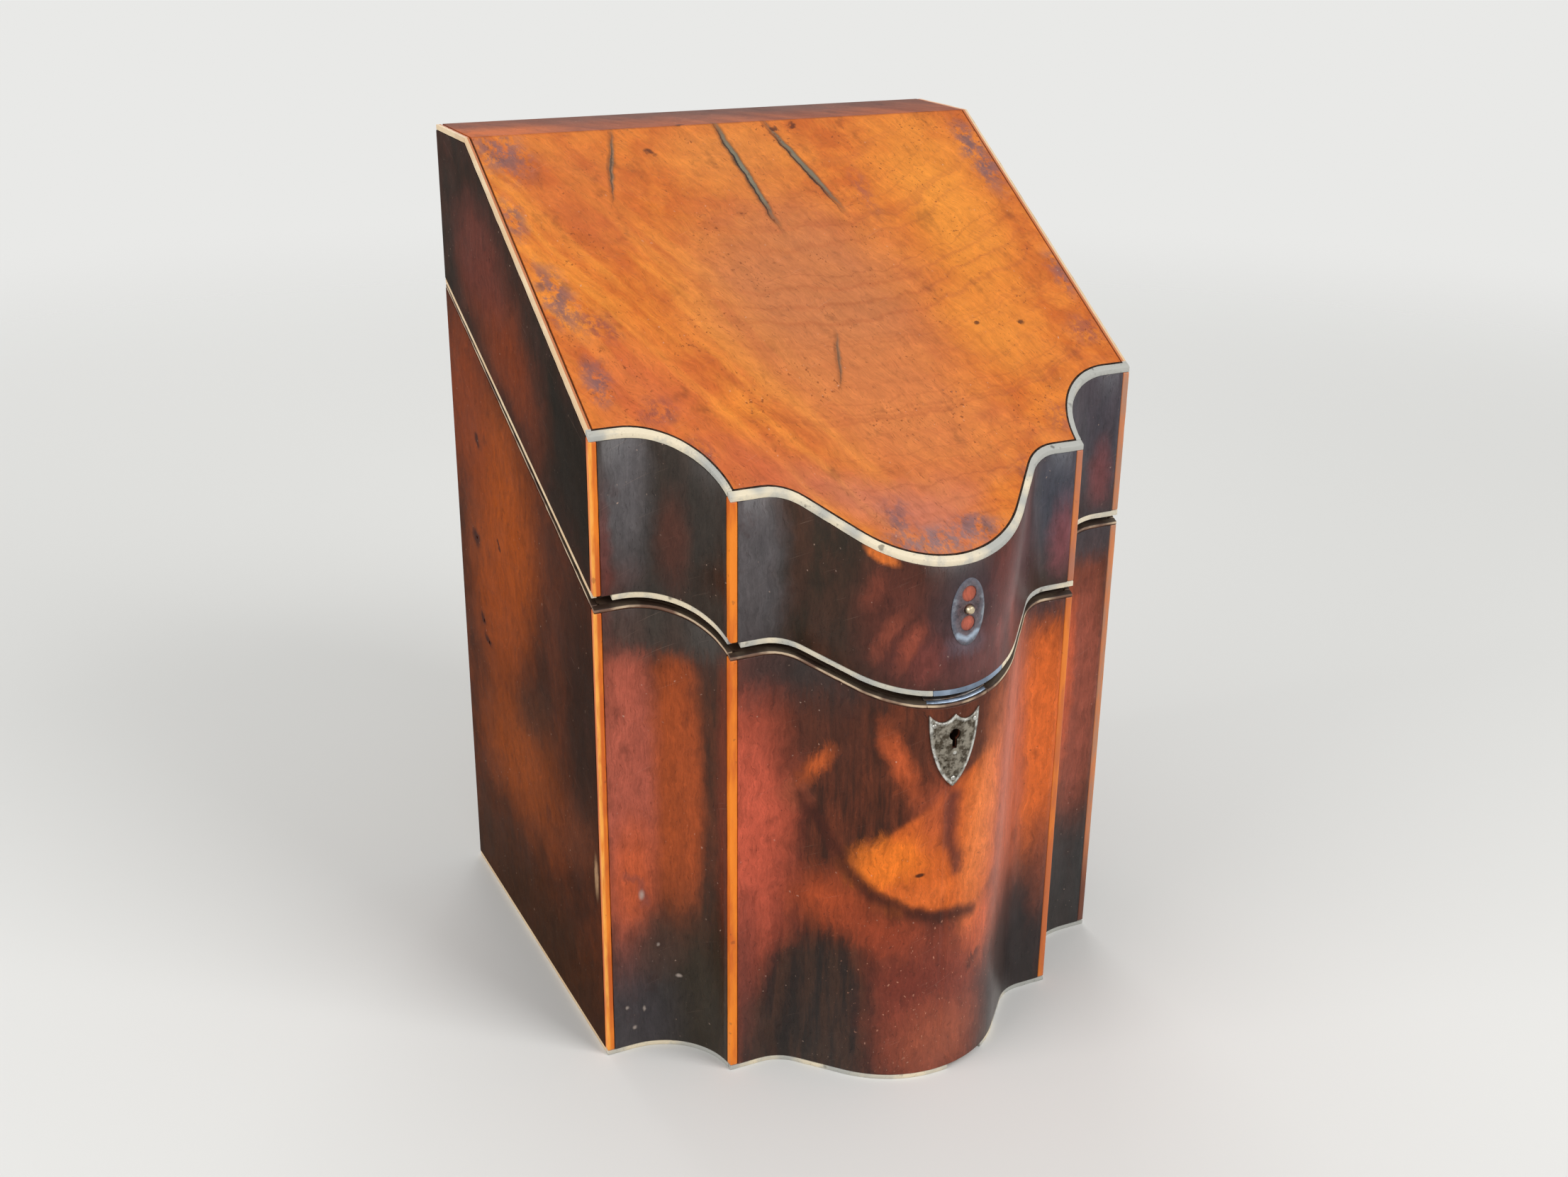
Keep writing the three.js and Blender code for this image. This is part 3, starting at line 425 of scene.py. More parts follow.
def case_front_finish():
    """Flame mahogany of the case's front: an orange sail between dark arcs."""
    made = Finish("case_front", Specular_IOR_Level=0.16)
    place = made.along()
    crisp = bent(place, 11, 6)
    soft = feathered(bent(place, 15, 12), 1.4, 12, 12)
    streaks = feathered(place, 2.2, 40, 30).noise((5, 46, 1), 4, 0.6)
    dark, night = tone(58, 31, 21), tone(40, 33, 30)
    ground = streaks.between(0.36, 0.64).tint(dark, tone(104, 50, 30))
    patches = [
        (-76, 108, 14, 70, 0, 0.8, (196, 88, 64), 0.95),
        (-80, 40, 7, 34, 0, 0.8, (112, 56, 46), 0.7),
        (-50, 150, 24, 22, 0, 0.7, (72, 40, 29), 0.7),
        # Dark grey at the top left: painted shade.
        (-62, 173, 30, 15, 0, 0.7, (50, 44, 42), 0.9),
        (-51, 134, 3.4, 8, -35, 0.9, (196, 92, 40), 0.75),
        (-58, 119, 5, 5, 0, 0.8, (166, 86, 58), 0.6),
        (-46, 77, 13, 10, 0, 0.8, (176, 76, 38), 0.85),
        (-24, 66, 16, 8, -14, 0.8, (160, 68, 38), 0.8),
        (17, 60, 11, 14, 0, 0.8, (228, 108, 60), 0.9),
        (-4, 30, 28, 34, 0, 0.6, (138, 62, 45), 0.9),
        (2, 16, 18, 14, 0, 0.8, (172, 88, 58), 0.7),
        (-10, 44, 14, 8, 0, 0.8, (112, 46, 34), 0.6),
    ]
    ground = laid(ground, soft, patches)
    leaf = crisp.inside([(-56, 119), (-52, 147), (-32, 141), (-16, 113), (-38, 97)], 6)
    ground = (leaf * 0.75).tint(ground, tone(92, 42, 27))
    sail = [(-39, 97), (-26, 84), (-8, 75), (14, 73), (27, 82), (29, 150), (9, 134), (-6, 130), (-18, 113)]
    ground = (crisp.inside(sail, 2.5) * 0.95).tint(ground, tone(206, 98, 36))
    patches = [
        (-23, 96, 14, 9, 20, 0.6, (232, 120, 36), 0.85),
        (-8, 82, 14, 5, 8, 0.8, (222, 110, 46), 0.7),
        (18, 112, 8, 36, -8, 0.8, (236, 130, 66), 0.85),
        (-4, 118, 9, 14, 0, 0.8, (164, 76, 46), 0.7),
        (4, 148, 22, 17, 0, 0.6, (92, 48, 33), 0.75),
        (-20, 138, 4, 13, 22, 0.9, (192, 88, 46), 0.8),
    ]
    ground = laid(ground, soft, patches)
    ground = (crisp.stroke([(1, 122), (0, 108), (4, 92)], 6, 0.5) * 0.8).tint(ground, tone(84, 42, 38))
    arc = [(-57, 119), (-46, 104), (-38, 92), (-28, 82), (-15, 75), (0, 71), (12, 70)]
    ground = (crisp.stroke(arc, 4.4, 0.6) * 0.8).tint(ground, tone(68, 30, 20))
    ground = (soft.stroke([(12, 46), (20, 50)], 3, 0.5) * 0.7).tint(ground, tone(70, 34, 26))
    foot = soft.inside([(-81, -6), (-27, -6), (-29, 50), (-42, 62), (-62, 58), (-76, 40)], 9)
    ground = (foot * 0.92).tint(ground, streaks.between(0.4, 0.6).tint(night, tone(62, 44, 34)))
    patches = [
        # The pale pink patch at (46, 112) is the wood's orange-red tone with painted sheen; the dark grey
        # patches at (46, 22), (73, 22) and (72, 184), low on the right and at the top right, are painted
        # shade.
        (46, 112, 23, 66, 0, 0.6, (196, 104, 76), 0.95),
        (46, 22, 24, 40, 0, 0.6, (64, 52, 50), 0.9),
        (74, 116, 13, 54, 0, 0.6, (218, 104, 42), 0.95),
        (63, 100, 4, 34, 0, 0.8, (176, 84, 54), 0.6),
        (72, 184, 18, 15, 0, 0.6, (52, 48, 51), 0.9),
        (73, 22, 15, 42, 0, 0.6, (44, 38, 38), 0.9),
        (78, 60, 5, 20, 0, 0.8, (142, 72, 48), 0.6),
    ]
    ground = laid(ground, soft, patches)
    ground = (place.spot(-11, 91, 1.8, 0.8, 8, 0.4) * 0.9).tint(ground, tone(40, 16, 8))
    sparks = place.noise((1.7, 2.2, 1), 2, 0.6).between(0.66, 0.72) * place.spot(-2, 38, 34, 36, 0, 0.7)
    ground = (sparks * 0.6).tint(ground, tone(224, 160, 130))
    pits = place.moved(9, 5).noise((2.4, 2.8, 1), 2, 0.6).between(0.7, 0.74)
    ground = (pits * 0.5).tint(ground, tone(60, 26, 20))
    return figured(made, place, ground, soft)


def lid_front_finish():
    """Mahogany of the lid's front: darker, with painted grey sheen at its left edge, red round the lost
    pull.
    """
    made = Finish("lid_front", Specular_IOR_Level=0.2)
    place = made.along()
    soft = feathered(bent(place, 12, 8), 1.5, 10, 9)
    ground = place.noise((9, 30, 1), 4, 0.6).between(0.35, 0.65).tint(tone(44, 34, 24), tone(66, 42, 30))
    patches = [
        # Grey at the left edge: painted sheen.
        (-78, 208, 13, 44, 0, 0.5, (88, 84, 86), 0.85),
        (-22, 192, 15, 26, 0, 0.7, (92, 44, 34), 0.8),
        (12, 178, 30, 14, 0, 0.7, (112, 54, 50), 0.85),
        (24, 198, 15, 24, 0, 0.7, (106, 48, 42), 0.85),
        (46, 200, 16, 40, 0, 0.7, (92, 62, 64), 0.85),
        # Blue-grey at the right shoulder: painted sheen.
        (74, 220, 14, 26, 0, 0.6, (66, 68, 78), 0.85),
        (78, 200, 6, 14, 0, 0.7, (136, 70, 74), 0.7),
        (3, 198, 13, 20, 0, 0.7, (58, 47, 51), 0.85),
        (3.4, 182, 7, 4, 0, 0.8, (104, 92, 102), 0.6),
        (-26, 188, 2.6, 9, -30, 0.9, (158, 78, 56), 0.6),
        (-18, 184, 2.6, 8, -24, 0.9, (170, 82, 58), 0.6),
        (-31, 205, 3, 6, -20, 0.9, (134, 64, 46), 0.5),
        (-12, 176, 4, 8, -20, 0.9, (140, 68, 58), 0.5),
        (30, 186, 2.4, 12, 8, 0.9, (148, 78, 70), 0.5),
        (20, 178, 2, 8, 0, 0.9, (150, 78, 70), 0.5),
    ]
    ground = laid(ground, soft, patches)
    chip = bent(place, 5, 3).spot(-29, 217.5, 6, 2, -26, 0.5)
    ground = (chip * 0.9).tint(ground, tone(214, 112, 46))
    bare = [
        (3.4, 201.8, 3.4, 3.4, 0, 0.8, (178, 92, 70), 0.95),
        (3.4, 190.6, 3.4, 3.2, 0, 0.8, (180, 94, 74), 0.95),
    ]
    ground = laid(ground, place, bare)
    return figured(made, place, ground, soft)


def cove_finish():
    """Mahogany of the coves, case and lid, laid out from the fins."""
    made = Finish("cove", Specular_IOR_Level=0.18)
    place = made.along()
    soft = feathered(bent(place, 10, 6), 1.5, 10, 9)
    left, right = -CENTRE_HALF / MM, CENTRE_HALF / MM
    ground = place.noise((7, 40, 1), 4, 0.6).between(0.35, 0.65).tint(tone(58, 34, 22), tone(84, 44, 26))
    patches = [
        # The neutral grey patches, (64, 60, 64), (96, 92, 94), (50, 50, 50), (66, 64, 72) and (62, 60, 64),
        # are painted sheen.
        (left - 5, 115, 4, 56, 0, 0.7, (112, 48, 28), 0.7),
        (left - 27, 114, 11, 60, 0, 0.35, (166, 76, 34), 0.92),
        (left - 45, 112, 10, 84, 0, 0.5, (178, 90, 70), 0.92),
        (left - 44, 78, 8, 22, 0, 0.7, (204, 92, 44), 0.7),
        (left - 22, 16, 26, 46, 0, 0.6, (46, 39, 27), 0.94),
        (left - 46, 6, 17, 34, 0, 0.7, (64, 60, 64), 0.92),
        (left - 34, 46, 9, 12, 0, 0.8, (84, 58, 48), 0.6),
        (left - 28, 186, 34, 16, 0, 0.35, (60, 55, 50), 0.9),
        (left - 28, 240, 34, 44, 0, 0.3, (52, 47, 42), 0.9),
        (left - 44, 236, 8, 36, 0, 0.7, (96, 92, 94), 0.8),
        (left - 27, 214, 6, 16, 0, 0.7, (92, 50, 38), 0.7),
        (left - 52, 208, 2.5, 22, 0, 0.8, (116, 58, 52), 0.6),
        (right + 22, 116, 16, 58, 0, 0.5, (176, 80, 36), 0.85),
        (right + 44, 116, 10, 60, 0, 0.5, (150, 78, 60), 0.9),
        (right + 36, 126, 4, 34, 0, 0.7, (206, 92, 50), 0.7),
        (right + 44, 24, 30, 32, 0, 0.4, (50, 50, 50), 0.85),
        (right + 44, 240, 32, 44, 0, 0.5, (66, 64, 72), 0.85),
        (right + 46, 210, 5, 14, 0, 0.7, (128, 66, 66), 0.7),
        (right + 44, 188, 14, 12, 0, 0.5, (62, 60, 64), 0.8),
    ]
    ground = laid(ground, soft, patches)
    wisp = soft.stroke([(left - 47, 80), (left - 42, 76), (left - 40, 66)], 3, 0.5)
    ground = (wisp * 0.4).tint(ground, tone(96, 62, 66))
    rough = bent(place, 1.5, 0.8)
    chips = [
        (41, 70, 0.9, 1.8),
        (27, 33, 1.1, 0.7),
        (35, 47, 0.6, 0.7),
        (48, 20, 0.6, 0.7),
        (41, 18, 0.5, 1),
        (45, 10, 0.7, 0.7),
    ]
    for x, y, wide, tall in chips:
        ground = (rough.spot(left - x, y, wide, tall, 0, 0.8) * 0.7).tint(ground, tone(200, 184, 172))
    return figured(made, place, ground, soft)


def side_finish():
    """Plainer mahogany of the sides, painted darker overall as shade, brighter in the middle and dark at
    the front and the seam.
    """
    made = Finish("side", Specular_IOR_Level=0.012)
    place = made.place("YZ0").moved(FRONT_Y / MM, 0)
    soft = bent(bent(place, 34, 26), 9, 7)
    ground = place.noise((26, 40, 1), 4, 0.6).between(0.3, 0.7).tint(tone(54, 24, 8), tone(92, 40, 11))
    patches = [
        (106, 190, 36, 44, 0, 0.7, (152, 68, 8), 0.92),
        (122, 146, 30, 34, 0, 0.8, (142, 62, 8), 0.85),
        (100, 84, 44, 28, -12, 0.8, (136, 62, 12), 0.88),
        (152, 226, 30, 34, 0, 0.8, (128, 54, 18), 0.8),
        (32, 172, 22, 36, 0, 0.8, (84, 42, 26), 0.6),
        (14, 140, 26, 62, 0, 0.7, (40, 20, 9), 0.9),
        (76, 118, 22, 14, 0, 0.8, (64, 36, 22), 0.7),
        (90, 10, 120, 34, 0, 0.8, (52, 28, 10), 0.85),
        (30, 84, 26, 14, -20, 0.8, (104, 52, 28), 0.6),
    ]
    ground = laid(ground, soft, patches)
    seam = place.vector("DOT_PRODUCT", (-LID_SLOPE, 1, 0))
    seam_z = lid_at(FRONT_Y) / MM
    lid = place.noise((26, 40, 1), 4, 0.6).between(0.3, 0.7).tint(tone(30, 22, 14), tone(58, 32, 22))
    patches = [
        (92, 264, 42, 20, 32, 0.8, (120, 50, 16), 0.85),
        (118, 292, 30, 18, 20, 0.7, (98, 46, 36), 0.8),
        (16, 236, 24, 26, 32, 0.6, (26, 20, 13), 0.9),
        (90, 238, 22, 7, 25, 0.8, (48, 28, 20), 0.7),
    ]
    ground = seam.between(seam_z - 1.5, seam_z + 1).tint(ground, laid(lid, soft, patches))
    left = made.place().axis("X").between(1, -1)
    chip = bent(place, 5, 2).spot(6.5, 78, 1.8, 8, 0, 0.6) * left
    ground = (chip * 0.8).tint(ground, tone(176, 140, 104))
    for y, z, wide, tall in (*WORM_HOLES, (112, 176, 1.6, 1.4), (136, 214, 3, 2)):
        ground = (soft.spot(y, z, wide, tall, 20, 0.6) * left * 0.85).tint(ground, tone(44, 14, 8))
    return figured(made, place, ground, soft, 0.1)


def top_finish(name, specular, dull):
    """Golden veneer of the lid's slope and the faded strip behind it, with bloom and cracks."""
    made = Finish(name, Specular_IOR_Level=specular)
    place = made.place("XY0").moved(0, FRONT_Y / MM)
    soft = bent(place, 22, 14)
    rough = bent(place, 7, 9)
    slanted = soft.moved(0, 0, 29)
    rays = bent(place, 40, 10).moved(0, 0, 29)
    bands = rays.noise((11, 160, 1), 4, 0.55)
    clouds = place.noise((24, 20, 1), 5, 0.65)
    ground = clouds.between(0.36, 0.64).tint(tone(194, 98, 38), tone(218, 124, 48))
    streaky = soft.inside([(-130, 140), (-104, -20), (-10, -70), (-14, 30), (-92, 150)], 18)
    ground = (bands.between(0.46, 0.62) * streaky * 0.7).tint(ground, tone(236, 146, 56))
    ground = (bands.between(0.46, 0.34) * streaky * 0.55).tint(ground, tone(190, 96, 46))
    patches = [
        (-4, 46, 44, 44, 0, 0.6, (192, 118, 74), 0.85),
        (6, -6, 36, 28, 0, 0.7, (206, 122, 70), 0.7),
        (74, 84, 20, 44, -6, 0.8, (232, 146, 54), 0.75),
        (64, 22, 17, 17, 0, 0.8, (230, 142, 56), 0.65),
        (-8, 114, 26, 15, 0, 0.8, (216, 134, 62), 0.7),
        (0, -46, 18, 12, 0, 0.7, (196, 112, 82), 0.7),
        (-86, 14, 20, 24, 28, 0.8, (198, 98, 58), 0.75),
        (-58, -18, 17, 12, -25, 0.8, (194, 98, 62), 0.75),
        (-76, 98, 20, 28, 20, 0.8, (192, 98, 50), 0.6),
        (-24, -38, 24, 9, -25, 0.8, (182, 108, 90), 0.6),
    ]
    ground = laid(ground, soft, patches)
    arcs = soft.moved(4, 235)
    reach = arcs.vector("LENGTH")
    ripples = arcs.node("ShaderNodeCombineXYZ", {}, {0: reach}).noise((7, 1, 1), 3, 0.6)
    lines = arcs.node("ShaderNodeCombineXYZ", {}, {0: reach}).noise((2.6, 1, 1), 2, 0.6)
    waved = soft.spot(40, 14, 88, 104, 0, 0.6)
    ground = (ripples.between(0.5, 0.68) * waved * 0.45).tint(ground, tone(164, 82, 46))
    ground = (lines.between(0.55, 0.7) * waved * 0.3).tint(ground, tone(140, 66, 38))
    bloom, plum = (112, 86, 92), (146, 80, 68)
    patches = [
        (-101, 122, 9, 11, 30, 0.9, bloom, 0.8),
        (-107, 92, 4, 9, 0, 0.7, bloom, 0.7),
        (-103, 56, 6, 14, 10, 0.7, bloom, 0.8),
        (-92, 42, 5, 7, 30, 0.7, plum, 0.8),
        (-101, 20, 5, 8, 0, 0.7, bloom, 0.8),
        (-84, 6, 7, 5, 30, 0.7, plum, 0.8),
        (-76, -12, 5, 6, 0, 0.7, plum, 0.7),
        (104, 106, 6, 17, 0, 0.7, bloom, 0.85),
        (108, 46, 4, 10, 0, 0.7, bloom, 0.7),
        (103, 18, 7, 6, 0, 0.7, plum, 0.7),
        (42, 92, 3, 10, 0, 0.8, plum, 0.6),
        (70, -18, 6, 6, -40, 0.8, plum, 0.6),
        (-16, -46, 5, 6, 0, 0.7, bloom, 0.7),
        (12, -52, 7, 4, 0, 0.7, bloom, 0.7),
        (-6, -56, 22, 5, 0, 0.8, (130, 104, 106), 0.85),
        (44, -36, 5, 5, 0, 0.7, plum, 0.6),
    ]
    blooms = laid(ground, rough, patches)
    ragged = place.noise((5, 6, 1), 5, 0.75).between(0.4, 0.56)
    ground = ragged.tint(ground, blooms)
    ridge = (RIDGE_Y - FRONT_Y) / MM
    flat = place.axis("Y").between(ridge - 1, ridge + 0.5)
    strip = bands.between(0.3, 0.7).tint(tone(128, 62, 36), tone(168, 88, 50))
    patches = [
        (-96, 140, 22, 12, 0, 0.7, (206, 104, 40), 0.8),
        (20, 172, 130, 22, 0, 0.8, (88, 62, 56), 0.8),
    ]
    ground = flat.tint(ground, laid(strip, soft, patches))
    wavy = bent(place, 9, 3.5)
    cracks = [
        (-59, 114, 0.9, 17, -21, 0.6),
        (-5.5, 107, 1.5, 26, 5, 1),
        (21, 108, 1.4, 23, 17, 0.9),
        (-7, 19, 0.8, 12, -22, 0.4),
    ]
    # Each crack gets dark edges, a grey core and, a little to one side, a thin painted shadow.
    for x, y, wide, tall, turn, share in cracks:
        lips = wavy.spot(x, y, wide + 0.5, tall, turn, 0.5) * share * 0.9
        ground = lips.tint(ground, tone(74, 52, 36))
        grey_core = wavy.spot(x + 0.4, y, wide * 0.7, tall * 0.8, turn, 0.5) * share
        ground = grey_core.tint(ground, tone(122, 116, 98))
        shadow = wavy.spot(x - 0.6, y - 2, 0.35, tall * 0.9, turn, 0.5) * share
        ground = shadow.tint(ground, tone(44, 36, 32))
    holes = [(-41, 119, 1.8), (17, 127, 1.3), (26, 128, 1.6), (77, 25, 1.6), (-22, 132, 1.4), (58, 26, 1.1)]
    for x, y, radius in holes:
        ground = (rough.spot(x, y, radius, radius * 0.8, 0, 0.5) * 0.8).tint(ground, tone(64, 30, 22))
    gathered = place.noise((20, 22, 1), 3).between(0.5, 0.62)
    specks = place.noise((1.5, 1.5, 1), 2).between(0.62, 0.69) * gathered
    ground = (specks * 0.7).tint(ground, tone(112, 54, 26))
    return figured(made, place, ground, slanted, dull, 0.6)


def near_outside(place):
    """1 in wood close to the box's outside and 0 deeper in; board wood there is painted nearly black as
    shade in the open seam and as old dirt.
    """
    sizes_mm = (HALF_WIDTH, -FRONT_Y, FIN_Y, COVE_X, COVE_RADIUS, BOW_CENTRE, BOW_RADIUS)
    side, front, fin, cove_x, cove_radius, bow_y, bow_radius = (size / MM for size in sizes_mm)
    lumps = place.noise((4, 4, 1), 3, 0.6) * 3
    folded = place.vector("MAXIMUM", place.vector("MULTIPLY", (-1, 1, 1)))
    bow = folded.vector("DISTANCE", (0, bow_y, 0)) + lumps
    cove = folded.vector("DISTANCE", (cove_x, fin, 0)) - lumps
    aside = folded.axis("X")
    ahead = 0 - folded.axis("Y")
    on_bow = bow.between(bow_radius - 6, bow_radius - 5) * ahead.between(-bow_y, 2 - bow_y)
    on_cove = cove.between(cove_radius + 6, cove_radius + 5)
    on_corner = (ahead + lumps).between(front - 5, front - 4) * aside.between(cove_x - 1, cove_x)
    on_side = (aside + lumps).between(side - 3, side - 2)
    return on_bow.most(on_cove).most(on_corner.most(on_side))


def board_finish(name, order, light, dark, rings=7.0, shaded_and_grimed=False):
    """Plain board with its grain along the second axis of the given order."""
    paint = colours()
    made = Finish(name, Specular_IOR_Level=0.25)
    place = made.place(order)
    warp = place.noise((50, 120, 50), 2, out=1).vector("SUBTRACT", (0.5, 0.5, 0.5))
    grown = warp.vector("MULTIPLY_ADD", (14, 20, 14), place)
    growth = grown.noise((rings, 160, rings), 4, 0.65)
    fibre = grown.noise((0.7, 30, 0.7), 3, 0.6)
    ground = growth.between(0.35, 0.65).tint(dark, light)
    ground = (fibre.between(0.4, 0.65) * 0.35).tint(ground, dark)
    ground = (place.noise((70, 70, 70), 4, 0.6).between(0.5, 0.75) * 0.35).tint(ground, paint.grime)
    if shaded_and_grimed:
        # Painted nearly black near the outside: shade in the open seam, and old dirt.
        ground = (near_outside(made.place("XY0")) * 0.92).tint(ground, tone(34, 24, 18))
    return made.finished(ground, ranged(growth, 0.6, 0.8), fibre + growth * 0.5, 0.15, 0.6)


def string_finish(name, clean, dirty):
    """Boxwood stringing: cream where it is rubbed, grey where the old finish lies on it."""
    paint = colours()
    made = Finish(name, Specular_IOR_Level=0.3)
    place = made.place()
    stretches = place.noise((30, 30, 30), 3, 0.55)
    worn = place.noise((7, 7, 7), 4, 0.65)
    fine = place.noise((1.2, 1.2, 1.2), 3, 0.6)
    ground = stretches.between(0.42, 0.58).tint(clean, dirty)
    ground = (worn.between(0.5, 0.66) * 0.5).tint(ground, dirty)
    ground = (fine.between(0.6, 0.74) * 0.35).tint(ground, paint.grime)
    ground = (place.noise((5, 5, 5), 2).between(0.66, 0.76) * 0.6).tint(ground, paint.grime)
    side, front = HALF_WIDTH / MM, FRONT_Y / MM
    inner = place.vector("ABSOLUTE").axis("X").between(side - 1.1, side - 1.3)
    behind = place.axis("Y").between(front + 2.6, front + 3)
    ground = (behind * ranged(stretches.between(0.4, 0.6), 0.6, 0.9)).tint(ground, tone(226, 190, 144))
    ground = (inner * behind * 0.85).tint(ground, tone(190, 100, 48))
    return made.finished(ground, ranged(worn, 0.34, 0.6), fine + worn * 2, 0.2, 0.7)


def dirt_finish():
    """Black dirt and old wax in the joint between the top's veneer and its string."""
    made = Finish("joint_dirt", Specular_IOR_Level=0.1)
    lumps = made.place().noise((2, 2, 2), 3, 0.6)
    ground = lumps.between(0.35, 0.65).tint(tone(26, 18, 14), tone(62, 44, 34))
    return made.finished(ground, 0.8, lumps, 0.1, 0.6)


def post_finish():
    """Orange-brown wood of the upright strings: rubbed pale at the right corner, darker at its foot."""
    made = Finish("warm_string", Specular_IOR_Level=0.25)
    place = made.place()
    long = place.noise((9, 9, 45), 4, 0.6)
    fine = place.noise((2, 2, 14), 3, 0.6)
    right, rise = place.axis("X"), place.axis("Z")
    ground = long.between(0.38, 0.62).tint(tone(246, 138, 38), tone(208, 100, 34))
    folded = made.place("XY0").vector("ABSOLUTE")
    # A painted highlight, with paler wear, along the outer arris of each corner and fin post.
    for x, y in ((HALF_WIDTH, -FRONT_Y), (FIN_X + POST, -FIN_Y)):
        arris_wear_and_highlight = folded.spot(x / MM, y / MM, 1.1, 1.1, 0, 0.4)
        ground = (arris_wear_and_highlight * ranged(fine.between(0.3, 0.6), 0.2, 0.9)).tint(ground, tone(254, 178, 80))
    ground = (place.noise((3, 3, 3), 2).between(0.68, 0.76) * 0.4).tint(ground, tone(120, 58, 36))
    inner = right.between(0, 20) * ranged(long.between(0.35, 0.65), 0.3, 0.75)
    ground = inner.tint(ground, tone(196, 110, 66))
    ground = (inner * rise.between(170, 190)).tint(ground, tone(172, 120, 100))
    corner = right.between(90, 100)
    rubbed = fine.between(0.36, 0.62).tint(tone(176, 132, 108), tone(204, 128, 86))
    ground = (corner * 0.85).tint(ground, rubbed)
    foot = corner * (rise + long * 30).between(70, 30)
    ground = (foot * 0.85).tint(ground, tone(92, 54, 46))
    return made.finished(ground, ranged(long, 0.3, 0.5), long, 0.15, 0.6)


def rim_finish():
    """Stained string of the case's rim: a thin pale line is left along its upper edge."""
    made = Finish("rim_string", Specular_IOR_Level=0.2)
    place = made.place()
    rise = place.vector("DOT_PRODUCT", (0, -RIM_SLOPE, 1))
    edge = (RIM_BACK - RIM_SLOPE * BACK_Y) / MM
    worn = place.noise((7, 7, 7), 4, 0.65)
    kept = place.noise((16, 16, 16), 3, 0.6)
    upper = (rise + worn * 0.5).between(edge - 0.8, edge - 0.6)
    ground = worn.between(0.35, 0.65).tint(tone(62, 38, 26), tone(92, 56, 38))
    pale = kept.between(0.42, 0.6).tint(tone(214, 190, 160), tone(124, 96, 80))
    ground = (upper * 0.85).tint(ground, pale)
    # The very top of the string is painted nearly black: painted shade in the open seam, and old dirt.
    top = rise.between(edge - 0.24, edge - 0.1)
    ground = (top * 0.9).tint(ground, tone(30, 20, 14))
    return made.finished(ground, ranged(worn, 0.4, 0.6), worn, 0.15, 0.6)


def metal_finish(name, clean, dull, shine=0.3):
    """Old metal, tarnished in patches and polished by wear."""
    paint = colours()
    made = Finish(name, Metallic=1.0)
    place = made.place()
    tarnish = place.noise((6, 6, 6), 4, 0.6)
    grains = place.noise((0.8, 0.8, 0.8), 3, 0.6)
    ground = tarnish.between(0.3, 0.66).tint(clean, dull)
    ground = (grains.between(0.6, 0.72) * 0.35).tint(ground, paint.grime)
    return made.finished(ground, ranged(tarnish, shine, shine + 0.3), grains * 0.5 + tarnish, 0.1, 0.7)


def shield_finish(knots):
    """Tarnished silver of the shield, with a painted highlight along its rubbed edge and painted glints
    under the keyhole.
    """
    made = Finish("old_silver", Metallic=1.0)
    place = made.place("XZ0")
    key_z = KEY_Z / MM
    knots = [[(x / MM, z / MM) for x, z in knot] for knot in knots]
    tarnish = place.noise((3.4, 3.4, 1), 4, 0.7)
    grains = place.noise((0.7, 0.7, 1), 3, 0.6)
    ground = tarnish.between(0.4, 0.6).tint(tone(150, 143, 130), tone(76, 68, 57))
    ground = (place.noise((2.2, 2.2, 1), 2).between(0.64, 0.7) * 0.8).tint(ground, tone(48, 42, 34))
    # Painted glints under the keyhole, then a painted highlight along the rubbed edge.
    rubbed = place.spot(0, key_z - 4.8, 0.7, 0.7, 0, 0.5)
    rubbed = rubbed.most(place.spot(0.2, key_z - 7.4, 0.7, 0.6, 0, 0.5))
    uneven = bent(place, 3, 0.5)
    for start, stop in zip(knots, knots[1:] + knots[:1]):
        points = interpolate_bezier(start[0], start[2], stop[1], stop[0], 6)
        rubbed = rubbed.most(uneven.stroke([(point.x, point.y) for point in points], 0.9, 0.6))
    kept = place.noise((5, 5, 1), 4, 0.7).between(0.4, 0.56)
    ground = (rubbed * ranged(kept, 0.25, 1)).tint(ground, tone(222, 222, 216))
    relief = tarnish * 1.6 + grains * 0.6 + rubbed * 0.8
    return made.finished(ground, ranged(tarnish, 0.3, 0.55), relief, 0.2, 0.8)


